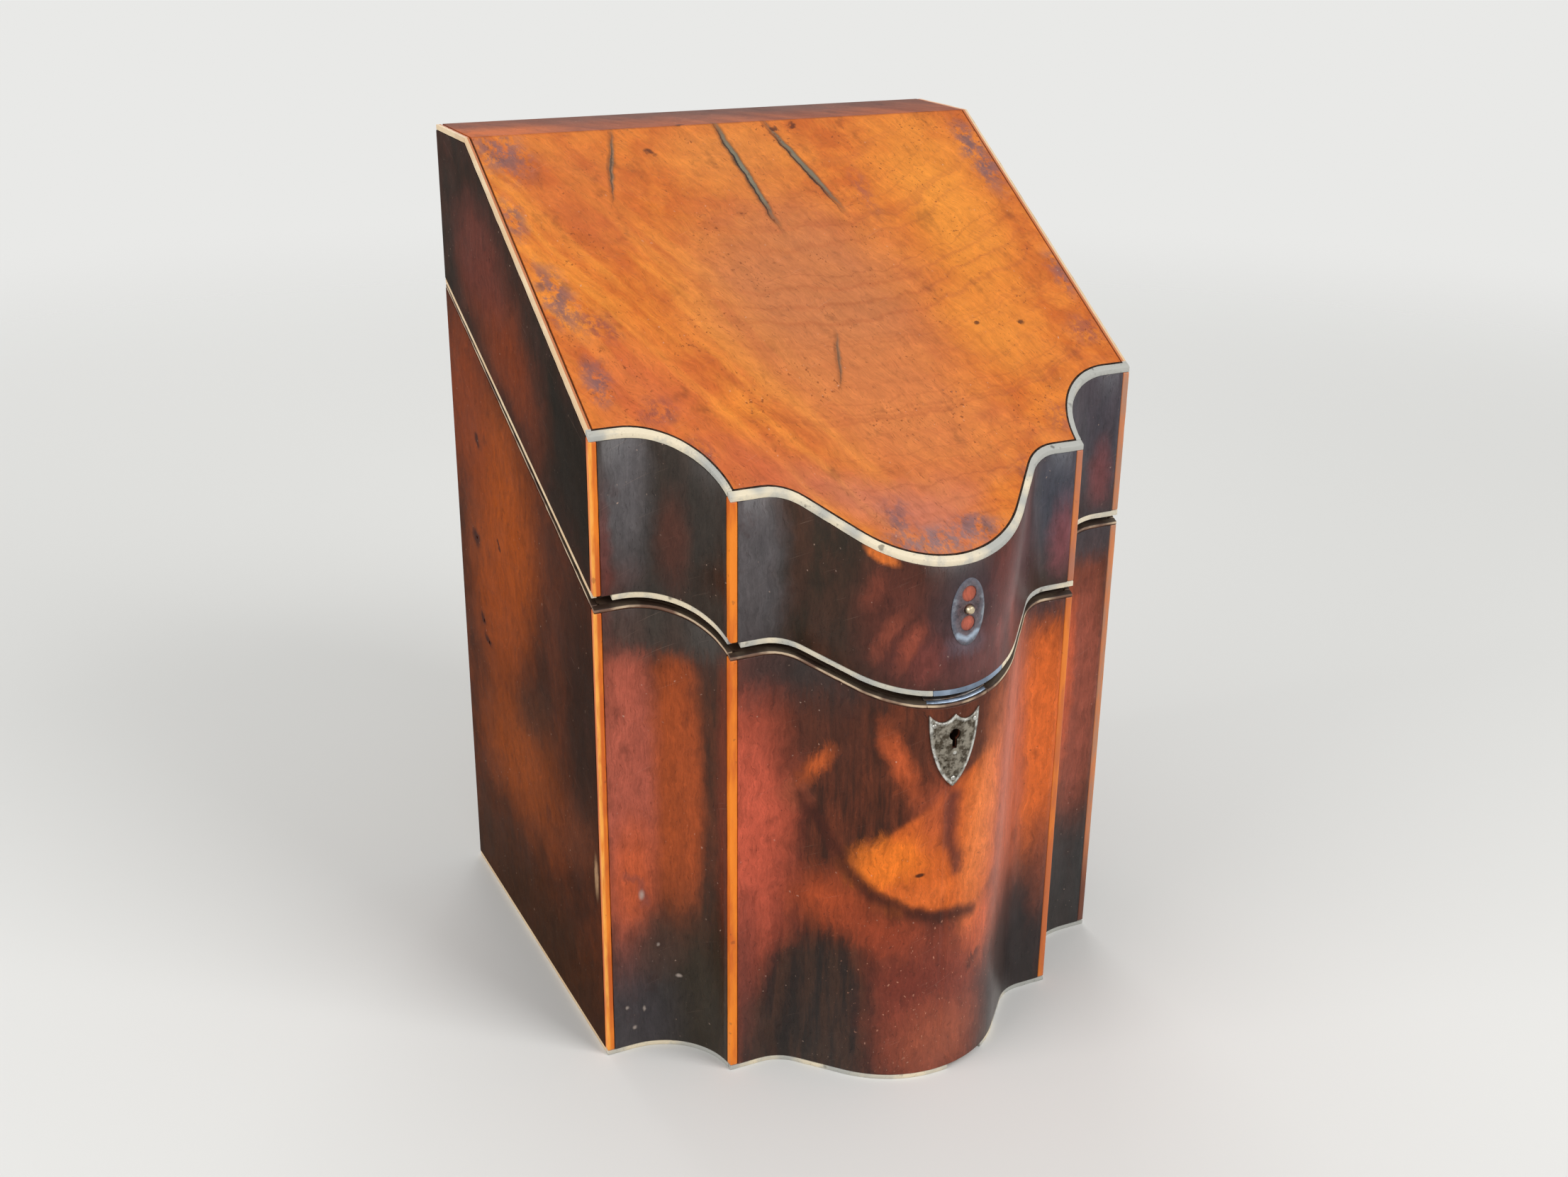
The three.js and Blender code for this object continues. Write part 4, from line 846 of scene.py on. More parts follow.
def scar_finish(x, z):
    """Old lacquer that stood round the foot of the pull at x and z: greyed, with a pale rim that is partly
    painted highlight.
    """
    made = Finish("scar", Specular_IOR_Level=0.4)
    place = made.place("XZ0").moved(x, z)
    lumps = place.noise((1.8, 1.8, 1), 4, 0.7)
    patchy = place.noise((5, 5, 1), 3, 0.6)
    soft = bent(place, 3, 2)
    ground = lumps.between(0.4, 0.6).tint(tone(54, 42, 48), tone(88, 68, 72))
    # The pale blue-grey rim: the old film's colour with painted highlight.
    rim = soft.spot(0, -0.5, 7.4, 13, 0, 0.1) * (1 - soft.spot(0, -0.5, 5.6, 10.8, 0, 0.3))
    ground = (rim * ranged(lumps, 0.3, 0.9)).tint(ground, tone(112, 122, 136))
    ground = (rim * patchy.between(0.5, 0.66) * 0.6).tint(ground, tone(168, 176, 184))
    for rise in (5.9, -5.3):
        ring = soft.spot(0, rise, 4.6, 4.4, 0, 0.3) * (1 - soft.spot(0, rise, 3.3, 3.2, 0, 0.2))
        ground = (ring * ranged(lumps, 0, 0.8)).tint(ground, tone(124, 112, 118))
    # A painted highlight along the lower arc of the rim.
    foot = soft.stroke([(-4, -9.6), (0, -11.4), (4.4, -9)], 1.5, 0.6) * 0.8
    ground = foot.tint(ground, tone(172, 188, 206))
    return made.finished(ground, ranged(lumps, 0.2, 0.45), lumps * 1.5 + rim * 1.2, 0.35, 0.8)


def floor_finish():
    """Pale floor that fades into the backdrop far from the object."""
    made = Finish("floor", Specular_IOR_Level=0.2, Base_Color=colours().floor, Roughness=0.7)
    far = made.place("XY0").vector("LENGTH").between(700, 1700)
    solid = Socket(far.tree, made.shader.outputs[0])
    clear = far.node("ShaderNodeBsdfTransparent")
    faded = far.node("ShaderNodeMixShader", {}, {0: far, 1: solid, 2: clear})
    fill(far.tree.nodes["Material Output"].inputs["Surface"], faded)
    return made.material


# Modelling


def alone(piece):
    """Selects one object and nothing else."""
    bpy.ops.object.select_all(action="DESELECT")
    piece.select_set(True)
    bpy.context.view_layer.objects.active = piece
    return piece


@contextmanager
def editing(piece):
    """Opens a piece in Edit Mode with all of it selected, and leaves Edit Mode at the end."""
    alone(piece)
    bpy.ops.object.mode_set(mode="EDIT")
    bpy.ops.mesh.select_all(action="SELECT")
    yield
    bpy.ops.object.mode_set(mode="OBJECT")


def facing_out():
    """Turns all faces of the mesh that is being edited to the outside."""
    bpy.ops.mesh.select_all(action="SELECT")
    bpy.ops.mesh.normals_make_consistent(inside=False)


def applied(piece, kind, **settings):
    """Adds a modifier with its settings and applies it."""
    alone(piece)
    modifier = piece.modifiers.new(kind.title(), kind)
    for key, value in settings.items():
        setattr(modifier, key, value)
    bpy.ops.object.modifier_apply(modifier=modifier.name)
    return piece


def softened(piece, width, segments=2, corner=34.0):
    """Rounds the edges that are sharper than the given corner, and shades the rest smoothly."""
    applied(
        piece,
        "BEVEL",
        width=width,
        segments=segments,
        limit_method="ANGLE",
        angle_limit=math.radians(corner),
        use_clamp_overlap=True,
    )
    alone(piece)
    bpy.ops.object.shade_smooth_by_angle(angle=math.radians(corner))
    return piece


def cut_with(piece, tool, operation="DIFFERENCE"):
    """Cuts a piece with another one, which is used up."""
    applied(piece, "BOOLEAN", operation=operation, object=tool, solver="EXACT")
    bpy.data.objects.remove(tool)
    return piece


def joined(name, parts):
    """Makes one object of several, under a new name."""
    bpy.ops.object.select_all(action="DESELECT")
    for part in parts:
        part.select_set(True)
    bpy.context.view_layer.objects.active = parts[0]
    if len(parts) > 1:
        bpy.ops.object.join()
    parts[0].name = name
    parts[0].data.name = name
    return parts[0]


def placed(piece, material, body, slot, *nodes):
    """Gives a finished piece its material and its body, and hides the nodes that it stands for. The slot is
    not used.
    """
    piece.data.materials.clear()
    piece.data.materials.append(material)
    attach(piece, body)
    if nodes:
        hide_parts(*nodes)
    return piece


def body_of(node):
    return frame["nodes"][node]["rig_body"]


def slot_of(node):
    return next(part["material_slot"] for part in frame["record"]["subparts"] if part["node"] == node)


def bare_copy(node, name):
    """A copy of a frame node with merged faces."""
    piece = bpy.data.objects.new(name, frame["nodes"][node].data.copy())
    bpy.context.scene.collection.objects.link(piece)
    with editing(piece):
        bpy.ops.mesh.remove_doubles(threshold=MERGE)
        bpy.ops.mesh.dissolve_limited(angle_limit=math.radians(0.5))
    return piece


def copied(node, name, edge):
    """A copy of a frame node with softened edges."""
    return softened(bare_copy(node, name), edge)


def stretch(moves, start, stop):
    """The part of a line of runs and turns between two distances along it, and what comes before it."""
    before, kept, done = [], [], 0.0
    for run, turn in moves:
        first, last = max(start, done), min(stop, done + run)
        if start > done:
            share = min(start - done, run) / run if run else 0
            before.append((run * share, turn * share))
        if last > first:
            share = (last - first) / run
            kept.append((last - first, turn * share))
        done += run
    return before, kept


def step(x, y, heading, run, turn):
    """Where a run or a turn ends, and the centre of a turn."""
    if not turn:
        return x + run * math.cos(heading), y + run * math.sin(heading), heading, None
    radius = run / turn
    centre = (x - radius * math.sin(heading), y + radius * math.cos(heading))
    last = heading + turn
    return centre[0] + radius * math.sin(last), centre[1] - radius * math.cos(last), last, centre


def follow(moves, x, y, heading):
    """Extrudes and spins what is selected along a line of runs and turns, seen from above."""
    for run, turn in moves:
        steps = max(1, math.ceil(run / sizes().step))
        last_x, last_y, last_heading, centre = step(x, y, heading, run, turn)
        if centre:
            bpy.ops.mesh.spin(steps=steps, angle=-turn, center=(*centre, 0), axis=(0, 0, 1))
        elif run:
            share = ((last_x - x) / steps, (last_y - y) / steps, 0)
            for _ in range(steps):
                bpy.ops.mesh.extrude_region_move(TRANSFORM_OT_translate={"value": share})
        x, y, heading = last_x, last_y, last_heading


def swept(name, line, start, stop, thick, foot, head, proud=0.0):
    """Carries an upright strip along part of a line. It is as thick as given to the left of the line."""
    moves, x, y, heading = line
    before, kept = stretch(moves, start, stop)
    for run, turn in before:
        x, y, heading, _ = step(x, y, heading, run, turn)
    aside = thick / 2 - proud
    at = (x - aside * math.sin(heading), y + aside * math.cos(heading), (foot + head) / 2)
    bpy.ops.object.select_all(action="DESELECT")
    bpy.ops.mesh.primitive_plane_add(size=1, location=at, rotation=(QUARTER, 0, heading + QUARTER))
    piece = bpy.context.object
    piece.scale = (thick, head - foot, 1)
    bpy.ops.object.transform_apply(location=True, rotation=True, scale=True)
    with editing(piece):
        follow(kept, x, y, heading)
        facing_out()
    piece.name = name
    return piece


def trimmed(piece, point, normal):
    """Cuts off all that lies beyond a plane, and closes the cut."""
    with editing(piece):
        bpy.ops.mesh.bisect(plane_co=point, plane_no=normal, use_fill=True, clear_outer=True)
    return piece


def under_slope(piece, back_z, slope, back_y=BACK_Y):
    """Keeps what lies under a slope that passes through the given height at the back."""
    return trimmed(piece, (0, back_y, back_z), (0, -slope, 1))


def over_slope(piece, back_z, slope, back_y=BACK_Y):
    """Keeps what lies over such a slope."""
    return trimmed(piece, (0, back_y, back_z), (0, slope, -1))


def edge_line(inset=0.0):
    """Runs and turns of the front from its left corner to its right one, drawn in by an inset."""
    cove = COVE_RADIUS + inset
    fin_turn = math.asin(inset / cove)
    shoulder = COVE_X - cove * math.cos(fin_turn) - HOLLOW_X
    left = [
        (CORNER_FLAT - inset, 0.0),
        (cove * (QUARTER - fin_turn), fin_turn - QUARTER),
        (0.0, QUARTER - fin_turn),
        (shoulder, 0.0),
        ((HOLLOW_RADIUS + inset) * BOW_TURN, -BOW_TURN),
        (STRAIGHT, 0.0),
    ]
    bow = ((BOW_RADIUS - inset) * 2 * BOW_TURN, 2 * BOW_TURN)
    return left, bow


def centre_line():
    """The front from fin to fin, with where it starts and its first heading."""
    left, bow = edge_line()
    return [*left[3:], bow, *left[:2:-1]], -FIN_X, FIN_Y, 0.0


def left_cove_line():
    return edge_line()[0][:2], -HALF_WIDTH, FRONT_Y, 0.0


def right_cove_line():
    return edge_line()[0][1::-1], FIN_X, FIN_Y, QUARTER


def left_side_line():
    return [(BACK_Y - FRONT_Y, 0.0)], -HALF_WIDTH, BACK_Y, -QUARTER


def right_side_line():
    return [(BACK_Y - FRONT_Y, 0.0)], HALF_WIDTH, FRONT_Y, QUARTER


def line_length(line):
    return sum(run for run, _ in line[0])


CENTRE_HALF = line_length(centre_line()) / 2
BOW_HALF = BOW_RADIUS * BOW_TURN
STRAIGHT_END = BOW_HALF + STRAIGHT
HOLLOW_END = STRAIGHT_END + HOLLOW_RADIUS * BOW_TURN


def run_at(x, y):
    """How far a point of the front lies from the middle, measured along the face."""
    side = math.copysign(1, x)
    x = abs(x)
    if x > FIN_X + 0.5 * MM or (x > FIN_X - POST and y > FIN_Y + STRING_WIDTH):
        if x > COVE_X:
            return side * (CENTRE_HALF + COVE_RADIUS * QUARTER + x - COVE_X)
        return side * (CENTRE_HALF + COVE_RADIUS * math.atan2(y - FIN_Y, COVE_X - x))
    if x > HOLLOW_X:
        return side * (HOLLOW_END + x - HOLLOW_X)
    bow_turn = math.atan2(x, BOW_CENTRE - y)
    if y < BOW_CENTRE and bow_turn < BOW_TURN:
        return side * BOW_RADIUS * bow_turn
    hollow_turn = math.atan2(HOLLOW_X - x, y - (FIN_Y - HOLLOW_RADIUS))
    if hollow_turn < BOW_TURN:
        return side * (HOLLOW_END - HOLLOW_RADIUS * hollow_turn)
    corner_x = BOW_RADIUS * math.sin(BOW_TURN)
    corner_y = BOW_CENTRE - BOW_RADIUS * math.cos(BOW_TURN)
    return side * (BOW_HALF + (x - corner_x) * math.cos(BOW_TURN) + (y - corner_y) * math.sin(BOW_TURN))


def marked(piece):
    """Stores each point's way along the face and its height, for the wood's figure to follow."""
    layer = piece.data.attributes.new("run", "FLOAT_VECTOR", "POINT")
    values = []
    for vertex in piece.data.vertices:
        values.extend((run_at(vertex.co.x, vertex.co.y), vertex.co.z, 0.0))
    layer.data.foreach_set("vector", values)
    return piece


def flat_block(name, low_corner, high_corner):
    """A block between two corners, to be shaped further."""
    middle = [(a + b) / 2 for a, b in zip(low_corner, high_corner)]
    bpy.ops.object.select_all(action="DESELECT")
    bpy.ops.mesh.primitive_cube_add(size=1, location=middle)
    piece = bpy.context.object
    piece.scale = [b - a for a, b in zip(low_corner, high_corner)]
    bpy.ops.object.transform_apply(location=True, rotation=True, scale=True)
    piece.name = name
    return piece


def peg(name, place, radius, height, sides=32):
    """A short round bar along Z of the given place."""
    bpy.ops.object.select_all(action="DESELECT")
    middle = (0, 0, height / 2)
    bpy.ops.mesh.primitive_cylinder_add(vertices=sides, radius=radius, depth=height, location=middle)
    piece = bpy.context.object
    bpy.ops.object.transform_apply(location=True, rotation=True, scale=True)
    piece.data.transform(place)
    piece.name = name
    return piece


def screw(name, at, radius, matrix):
    """A slotted countersunk screw head, a hair proud of the surface that it is let into."""
    turned = Matrix.Rotation(math.radians(at[0] / MM * 37 + at[1] / MM * 11), 4, "Z")
    place = matrix @ Matrix.Translation(at) @ turned
    sunk, slot_half, slot_foot = 0.6 * MM, 0.28 * MM, 0.35 * MM
    head = peg(name, place @ Matrix.Translation((0, 0, -sunk)), radius, 0.7 * MM)
    slot = flat_block("slot", (-radius * 1.2, -slot_half, -slot_foot), (radius * 1.2, slot_half, 1 * MM))
    slot.data.transform(place)
    cut_with(head, slot)
    return softened(head, 0.08 * MM)


def closed_up(push):
    """Fills the outline that is being edited with a face, and pushes that out to a solid."""
    bpy.ops.mesh.select_all(action="SELECT")
    bpy.ops.mesh.remove_doubles(threshold=MERGE)
    bpy.ops.mesh.edge_face_add()
    bpy.ops.mesh.extrude_region_move(TRANSFORM_OT_translate={"value": push})
    facing_out()


def top_outline(name, inset, foot, head):
    """The lid seen from above, drawn in by an inset, as an upright slab."""
    left, bow = edge_line(inset)
    depth = BACK_Y - FRONT_Y - inset
    moves = [(depth, 0.0), (0.0, QUARTER), *left, bow, *left[::-1], (0.0, QUARTER), (depth, 0.0)]
    x, y, heading = inset - HALF_WIDTH, BACK_Y, -QUARTER
    bpy.ops.object.select_all(action="DESELECT")
    bpy.ops.mesh.primitive_plane_add(size=1 * MM, location=(x, y, foot))
    piece = bpy.context.object
    bpy.ops.object.transform_apply(location=True, rotation=True, scale=True)
    with editing(piece):
        bpy.ops.mesh.merge(type="CENTER")
        for run, turn in moves:
            if run:
                follow([(run, turn)], x, y, heading)
                x, y, heading, _ = step(x, y, heading, run, turn)
            else:
                heading += turn
        closed_up((0, 0, head - foot))
    piece.name = name
    return piece


# Pieces


def lamp(name, spot, aim, size, power):
    """A square or oblong lamp that shines from a spot towards what it is aimed at."""
    bpy.ops.object.light_add(type="AREA", location=spot)
    light = bpy.context.object
    light.name = name
    light.rotation_euler = (Vector(aim) - Vector(spot)).to_track_quat("-Z", "Y").to_euler()
    light.data.shape = "RECTANGLE"
    light.data.size, light.data.size_y = size
    light.data.energy = power


class KNIFEBOX_OT_stage(bpy.types.Operator):
    """Sets the camera, the lamps, the pale floor and the backdrop"""

    bl_idname = "knifebox.stage"
    bl_label = "Stage"

    def execute(self, context):
        bpy.ops.object.camera_add()
        camera = context.object
        camera.name = "camera"
        camera.data.sensor_width = 36
        camera.data.lens = CAMERA_LENS
        ahead = (CAMERA_AIM - CAMERA_SPOT).normalized()
        right = ahead.cross(Vector((0, 0, 1))).normalized()
        up = right.cross(ahead)
        across = right * math.cos(CAMERA_ROLL) + up * math.sin(CAMERA_ROLL)
        upward = up * math.cos(CAMERA_ROLL) - right * math.sin(CAMERA_ROLL)
        turned = Matrix((across, upward, -ahead)).transposed().to_4x4()
        camera.matrix_world = Matrix.Translation(CAMERA_SPOT) @ turned
        context.scene.camera = camera

        bpy.ops.mesh.primitive_circle_add(vertices=96, radius=3, fill_type="NGON")
        floor = context.object
        floor.name = "floor"
        floor.data.materials.append(floor_finish())

        aim = (0, 0, 0.15)
        lamp("key_lamp", (0.75, -1.25, 1.35), aim, (0.9, 0.9), 19)
        lamp("side_lamp", (-1.6, -0.3, 0.9), aim, (1.2, 1.0), 14)
        lamp("back_lamp", (0.3, 1.5, 1.5), aim, (1.4, 0.8), 10)

        world = bpy.data.worlds.new("studio")
        context.scene.world = world
        world.use_nodes = True
        tree = world.node_tree
        kinds = ("Is Camera Ray", "Is Glossy Ray", "Is Transmission Ray")
        rays = Socket(tree, None)
        seen, mirrored, through = (rays.node("ShaderNodeLightPath", out=kind) for kind in kinds)
        backdrop = tree.nodes["Background"]
        fill(backdrop.inputs["Color"], full(tone(244, 244, 242)))
        fill(backdrop.inputs["Strength"], ranged(seen.most(mirrored.most(through)), 0.5, 0.9))
        context.scene.view_settings.view_transform = "Standard"
        return {"FINISHED"}


class KNIFEBOX_OT_boards(bpy.types.Operator):
    """Softens and finishes the boards of the case and the lid"""

    bl_idname = "knifebox.boards"
    bl_label = "Boards"

    def execute(self, context):
        paint = colours()
        upright = board_finish("board_upright", "XZY", paint.carcase, paint.carcase_dark, shaded_and_grimed=True)
        sidewise = board_finish("board_sidewise", "YXZ", paint.carcase, paint.carcase_dark)
        forward = board_finish("board_forward", "ZYX", paint.carcase, paint.carcase_dark, shaded_and_grimed=True)
        woods = {
            "front_core": upright,
            "left_side": forward,
            "right_side": forward,
            "back_board": sidewise,
            "bottom_board": sidewise,
            "left_ledger": forward,
            "right_ledger": forward,
            "lid_front_core": upright,
            "lid_left_side": forward,
            "lid_right_side": forward,
            "lid_back_rail": sidewise,
            "lid_top_board": sidewise,
            "lid_slope_board": sidewise,
        }
        for node, wood in woods.items():
            edge = COVERED_EDGE if node.endswith("front_core") else sizes().board_edge
            piece = copied(node, f"{node}_wood", edge)
            placed(piece, wood, body_of(node), slot_of(node), node)
        return {"FINISHED"}


class KNIFEBOX_OT_cutlery_board(bpy.types.Operator):
    """Finishes the pierced board that holds the cutlery"""

    bl_idname = "knifebox.cutlery_board"
    bl_label = "Cutlery board"

    def execute(self, context):
        paint = colours()
        wood = board_finish("rack_wood", "YXZ", paint.rack_red, paint.wood_dark, 5)
        piece = copied("cutlery_board", "pierced_board", 0.5 * MM)
        placed(piece, wood, body_of("cutlery_board"), "rack", "cutlery_board")
        return {"FINISHED"}


# Where the case's veneers start, and heights that what is cut off later starts from and goes up to
SKIN_FOOT = BASE_STRING + GLUE
SPARE_FOOT = 0.1
SPARE_HEAD = 0.36


def case_skin(piece):
    """Cuts a veneer of the case off under the rim's string."""
    return under_slope(piece, RIM_BACK - RIM_STRING - GLUE, RIM_SLOPE)


def lid_skin(piece):
    """Cuts a veneer of the lid off between the lid's lower and upper strings."""
    over_slope(piece, LID_BACK + LID_STRING + GLUE, LID_SLOPE)
    under_slope(piece, TOP_Z - TOP_STRING - GLUE, TOP_SLOPE, RIDGE_Y)
    return under_slope(piece, TOP_Z - TOP_STRING - GLUE, 0)


class KNIFEBOX_OT_front_veneers(bpy.types.Operator):
    """Lays the curved veneers of the case's and the lid's front"""

    bl_idname = "knifebox.front_veneers"
    bl_label = "Front veneers"

    def execute(self, context):
        case_wood, lid_wood, cove_wood = case_front_finish(), lid_front_finish(), cove_finish()
        sheets = {
            "front_veneer": (centre_line(), case_wood, lid_wood),
            "left_cove_veneer": (left_cove_line(), cove_wood, cove_wood),
            "right_cove_veneer": (right_cove_line(), cove_wood, cove_wood),
        }
        for node, (line, case_finish, lid_finish) in sheets.items():
            span = (POST + GLUE, line_length(line) - POST - GLUE)
            piece = case_skin(swept(f"{node}_sheet", line, *span, VENEER, SKIN_FOOT, SPARE_HEAD))
            if node == "front_veneer":
                for tool in key_tools():
                    cut_with(piece, tool)
            softened(piece, VENEER_EDGE, 1, 60)
            placed(marked(piece), case_finish, "case", "front_veneer", node)
            piece = lid_skin(swept(f"lid_{node}_sheet", line, *span, VENEER, 0, SPARE_HEAD))
            softened(piece, VENEER_EDGE, 1, 60)
            placed(marked(piece), lid_finish, "lid", "front_veneer", f"lid_{node}")
        return {"FINISHED"}


def key_tools():
    """A round bar and a slot under it, in the shape of the keyhole."""
    radius, slot_half, foot = 2.3 * MM, 0.95 * MM, KEY_Z - 5.6 * MM
    front, back = BOW_Y - 6 * MM, BOW_Y + 6 * MM
    place = Matrix.Translation((0, back, KEY_Z)) @ Matrix.Rotation(QUARTER, 4, "X")
    hole = peg("key_hole", place, radius, 12 * MM, 40)
    return hole, flat_block("key_slot", (-slot_half, front, foot), (slot_half, back, KEY_Z))


class KNIFEBOX_OT_side_veneers(bpy.types.Operator):
    """Lays the flat veneers of the sides, with the worm holes of the left one"""

    bl_idname = "knifebox.side_veneers"
    bl_label = "Side veneers"

    def execute(self, context):
        wood = side_finish()
        inset = POST + GLUE
        for side, line in (("left", left_side_line()), ("right", right_side_line())):
            whole = line_length(line)
            start, stop = (0, whole - inset) if side == "left" else (inset, whole)
            piece = case_skin(swept(f"{side}_side_sheet", line, start, stop, VENEER, SKIN_FOOT, SPARE_HEAD))
            if side == "left":
                for y, z, _, _ in WORM_HOLES:
                    at = Matrix.Translation((-HALF_WIDTH - 2 * MM, FRONT_Y + y * MM, z * MM))
                    place = at @ Matrix.Rotation(QUARTER, 4, "Y")
                    cut_with(piece, peg("worm_hole", place, 0.75 * MM, 6 * MM, 14))
            softened(piece, VENEER_EDGE, 1)
            placed(piece, wood, "case", "side_veneer", f"{side}_side_veneer")
            piece = lid_skin(swept(f"lid_{side}_sheet", line, start, stop, VENEER, 0, SPARE_HEAD))
            softened(piece, VENEER_EDGE, 1)
            placed(piece, wood, "lid", "side_veneer", f"lid_{side}_veneer")
        return {"FINISHED"}


class KNIFEBOX_OT_top_veneers(bpy.types.Operator):
    """Lays the veneers of the lid's slope and of the flat strip behind it"""

    bl_idname = "knifebox.top_veneers"
    bl_label = "Top veneers"

    def execute(self, context):
        slope_wood = top_finish("slope_wood", 0.14, 0.06)
        flat_wood = top_finish("flat_wood", 0.04, 0.2)
        joint = 0.6 * MM
        sheets = (("lid_slope_veneer", slope_wood, 1, TOP_SLOPE), ("lid_flat_veneer", flat_wood, -1, 0))
        for node, wood, beyond, slope in sheets:
            piece = top_outline(f"{node}_sheet", STRING_WIDTH + joint, SPARE_FOOT, SPARE_HEAD)
            trimmed(piece, (0, RIDGE_Y, 0), (0, beyond, 0))
            under_slope(piece, TOP_Z, slope, RIDGE_Y)
            over_slope(piece, TOP_Z - VENEER, slope, RIDGE_Y)
            softened(piece, VENEER_EDGE, 1)
            placed(piece, wood, "lid", slot_of(node), node)
        parts = []
        for line in (left_cove_line(), centre_line(), right_cove_line()):
            stop = line_length(line) - STRING_WIDTH
            part = swept(
                "joint_dirt", line, STRING_WIDTH, stop, joint, SPARE_FOOT, SPARE_HEAD, -STRING_WIDTH
            )
            under_slope(part, TOP_Z - 0.12 * MM, TOP_SLOPE, RIDGE_Y)
            parts.append(over_slope(part, TOP_Z - VENEER, TOP_SLOPE, RIDGE_Y))
        placed(joined("joint_dirt", parts), dirt_finish(), "lid", slot_of("lid_slope_veneer"))
        return {"FINISHED"}


def worn_strip(name, line, start, stop, foot, head, slope=None, thick=STRING_WIDTH):
    """A length of stringing between a foot and a head, level or under a slope at the back."""
    if not slope:
        return swept(name, line, start, stop, thick, foot, head)
    piece = swept(name, line, start, stop, thick, SPARE_FOOT, SPARE_HEAD)
    under_slope(piece, head, *slope)
    return over_slope(piece, foot, *slope)


def wear(piece, amount):
    """Makes a string's faces and edges slightly uneven."""
    grain = bpy.data.textures.new("string_wear", "CLOUDS")
    grain.noise_scale = 6 * MM
    applied(piece, "DISPLACE", texture=grain, strength=amount, mid_level=0.75, texture_coords="LOCAL")
    return piece


class KNIFEBOX_OT_stringing(bpy.types.Operator):
    """Lays the pale strings along the base, the rim, the lid's edge and its top"""

    bl_idname = "knifebox.stringing"
    bl_label = "Stringing"

    def execute(self, context):
        wood = string_finish("pale_string", tone(232, 218, 190), tone(176, 176, 170))
        rubbed = rim_finish()
        # The blue-grey string of the lid's rim over the lock is painted sheen.
        grey = string_finish("grey_string", tone(150, 166, 186), tone(104, 118, 136))
        gap = 0.05 * MM
        inner = STRING_WIDTH + gap
        centre, depth = 2 * CENTRE_HALF, BACK_Y - FRONT_Y
        cove = line_length(left_cove_line())
        lines = {
            "centre": (centre_line(), 0, centre),
            "left_cove": (left_cove_line(), 0, cove - inner),
            "right_cove": (right_cove_line(), inner, cove),
            "left_side": (left_side_line(), 0, depth - inner),
            "right_side": (right_side_line(), inner, depth),
        }
        # The run of the lid's rim string over the lock that is painted blue-grey as sheen.
        greyed = (CENTRE_HALF - 9 * MM, CENTRE_HALF + 24 * MM)
        lock_run = (CENTRE_HALF + low("lock_plate").x, CENTRE_HALF + high("lock_plate").x)
        missing = {
            ("base", "centre"): [(CENTRE_HALF + 5 * MM, CENTRE_HALF + 25 * MM)],
            ("rim", "centre"): [lock_run],
            ("lid_rim", "left_cove"): [(0, 7 * MM)],
            ("lid_rim", "centre"): [(0, 4 * MM), greyed],
        }
        bands = {
            "base": ("case", "base_string", 0, BASE_STRING, None),
            "rim": ("case", "rim_string", RIM_BACK - RIM_STRING, RIM_BACK, (RIM_SLOPE, BACK_Y)),
            "lid_rim": ("lid", "lid_rim_string", LID_BACK, LID_BACK + LID_STRING, (LID_SLOPE, BACK_Y)),
            "lid_top": ("lid", "lid_top_string", TOP_Z - TOP_STRING, TOP_Z, (TOP_SLOPE, RIDGE_Y)),
        }
        for band, (body, node, *shape) in bands.items():
            parts = []
            if band == "rim":
                parts.append(worn_strip("rim_worn", centre_line(), *lock_run, *shape, 0.85 * MM))
            for place, (line, start, stop) in lines.items():
                ends = [start, *chain.from_iterable(missing.get((band, place), [])), stop]
                for a, b in zip(ends[::2], ends[1::2]):
                    if b - a > 1 * MM:
                        parts.extend(self.strips(band, place, line, a, b, *shape))
            piece = joined(f"{node}_strips", parts)
            self.finish(piece, rubbed if band == "rim" else wood, body, node)
        # That run, painted blue-grey as sheen.
        _, _, *shape = bands["lid_rim"]
        self.finish(worn_strip("lid_rim_greyed", centre_line(), *greyed, *shape), grey, "lid")
        return {"FINISHED"}

    def strips(self, band, place, line, a, b, foot, head, slope):
        """The string of one run. A side's top string is in two parts, on the slope and behind the ridge."""
        name = f"{band}_{place}"
        if band != "lid_top" or "side" not in place:
            return [worn_strip(name, line, a, b, foot, head, slope)]
        if place == "left_side":
            ridge, slopes = BACK_Y - RIDGE_Y, (None, slope)
        else:
            ridge, slopes = RIDGE_Y - FRONT_Y, (slope, None)
        first = worn_strip(name, line, a, ridge, foot, head, slopes[0])
        return [first, worn_strip(name, line, ridge, b, foot, head, slopes[1])]

    def finish(self, piece, wood, body, *nodes):
        """Rounds and wears a string, and gives it its wood and body."""
        wear(softened(piece, sizes().string_edge), sizes().string_wear)
        placed(piece, wood, body, "pale_string", *nodes)


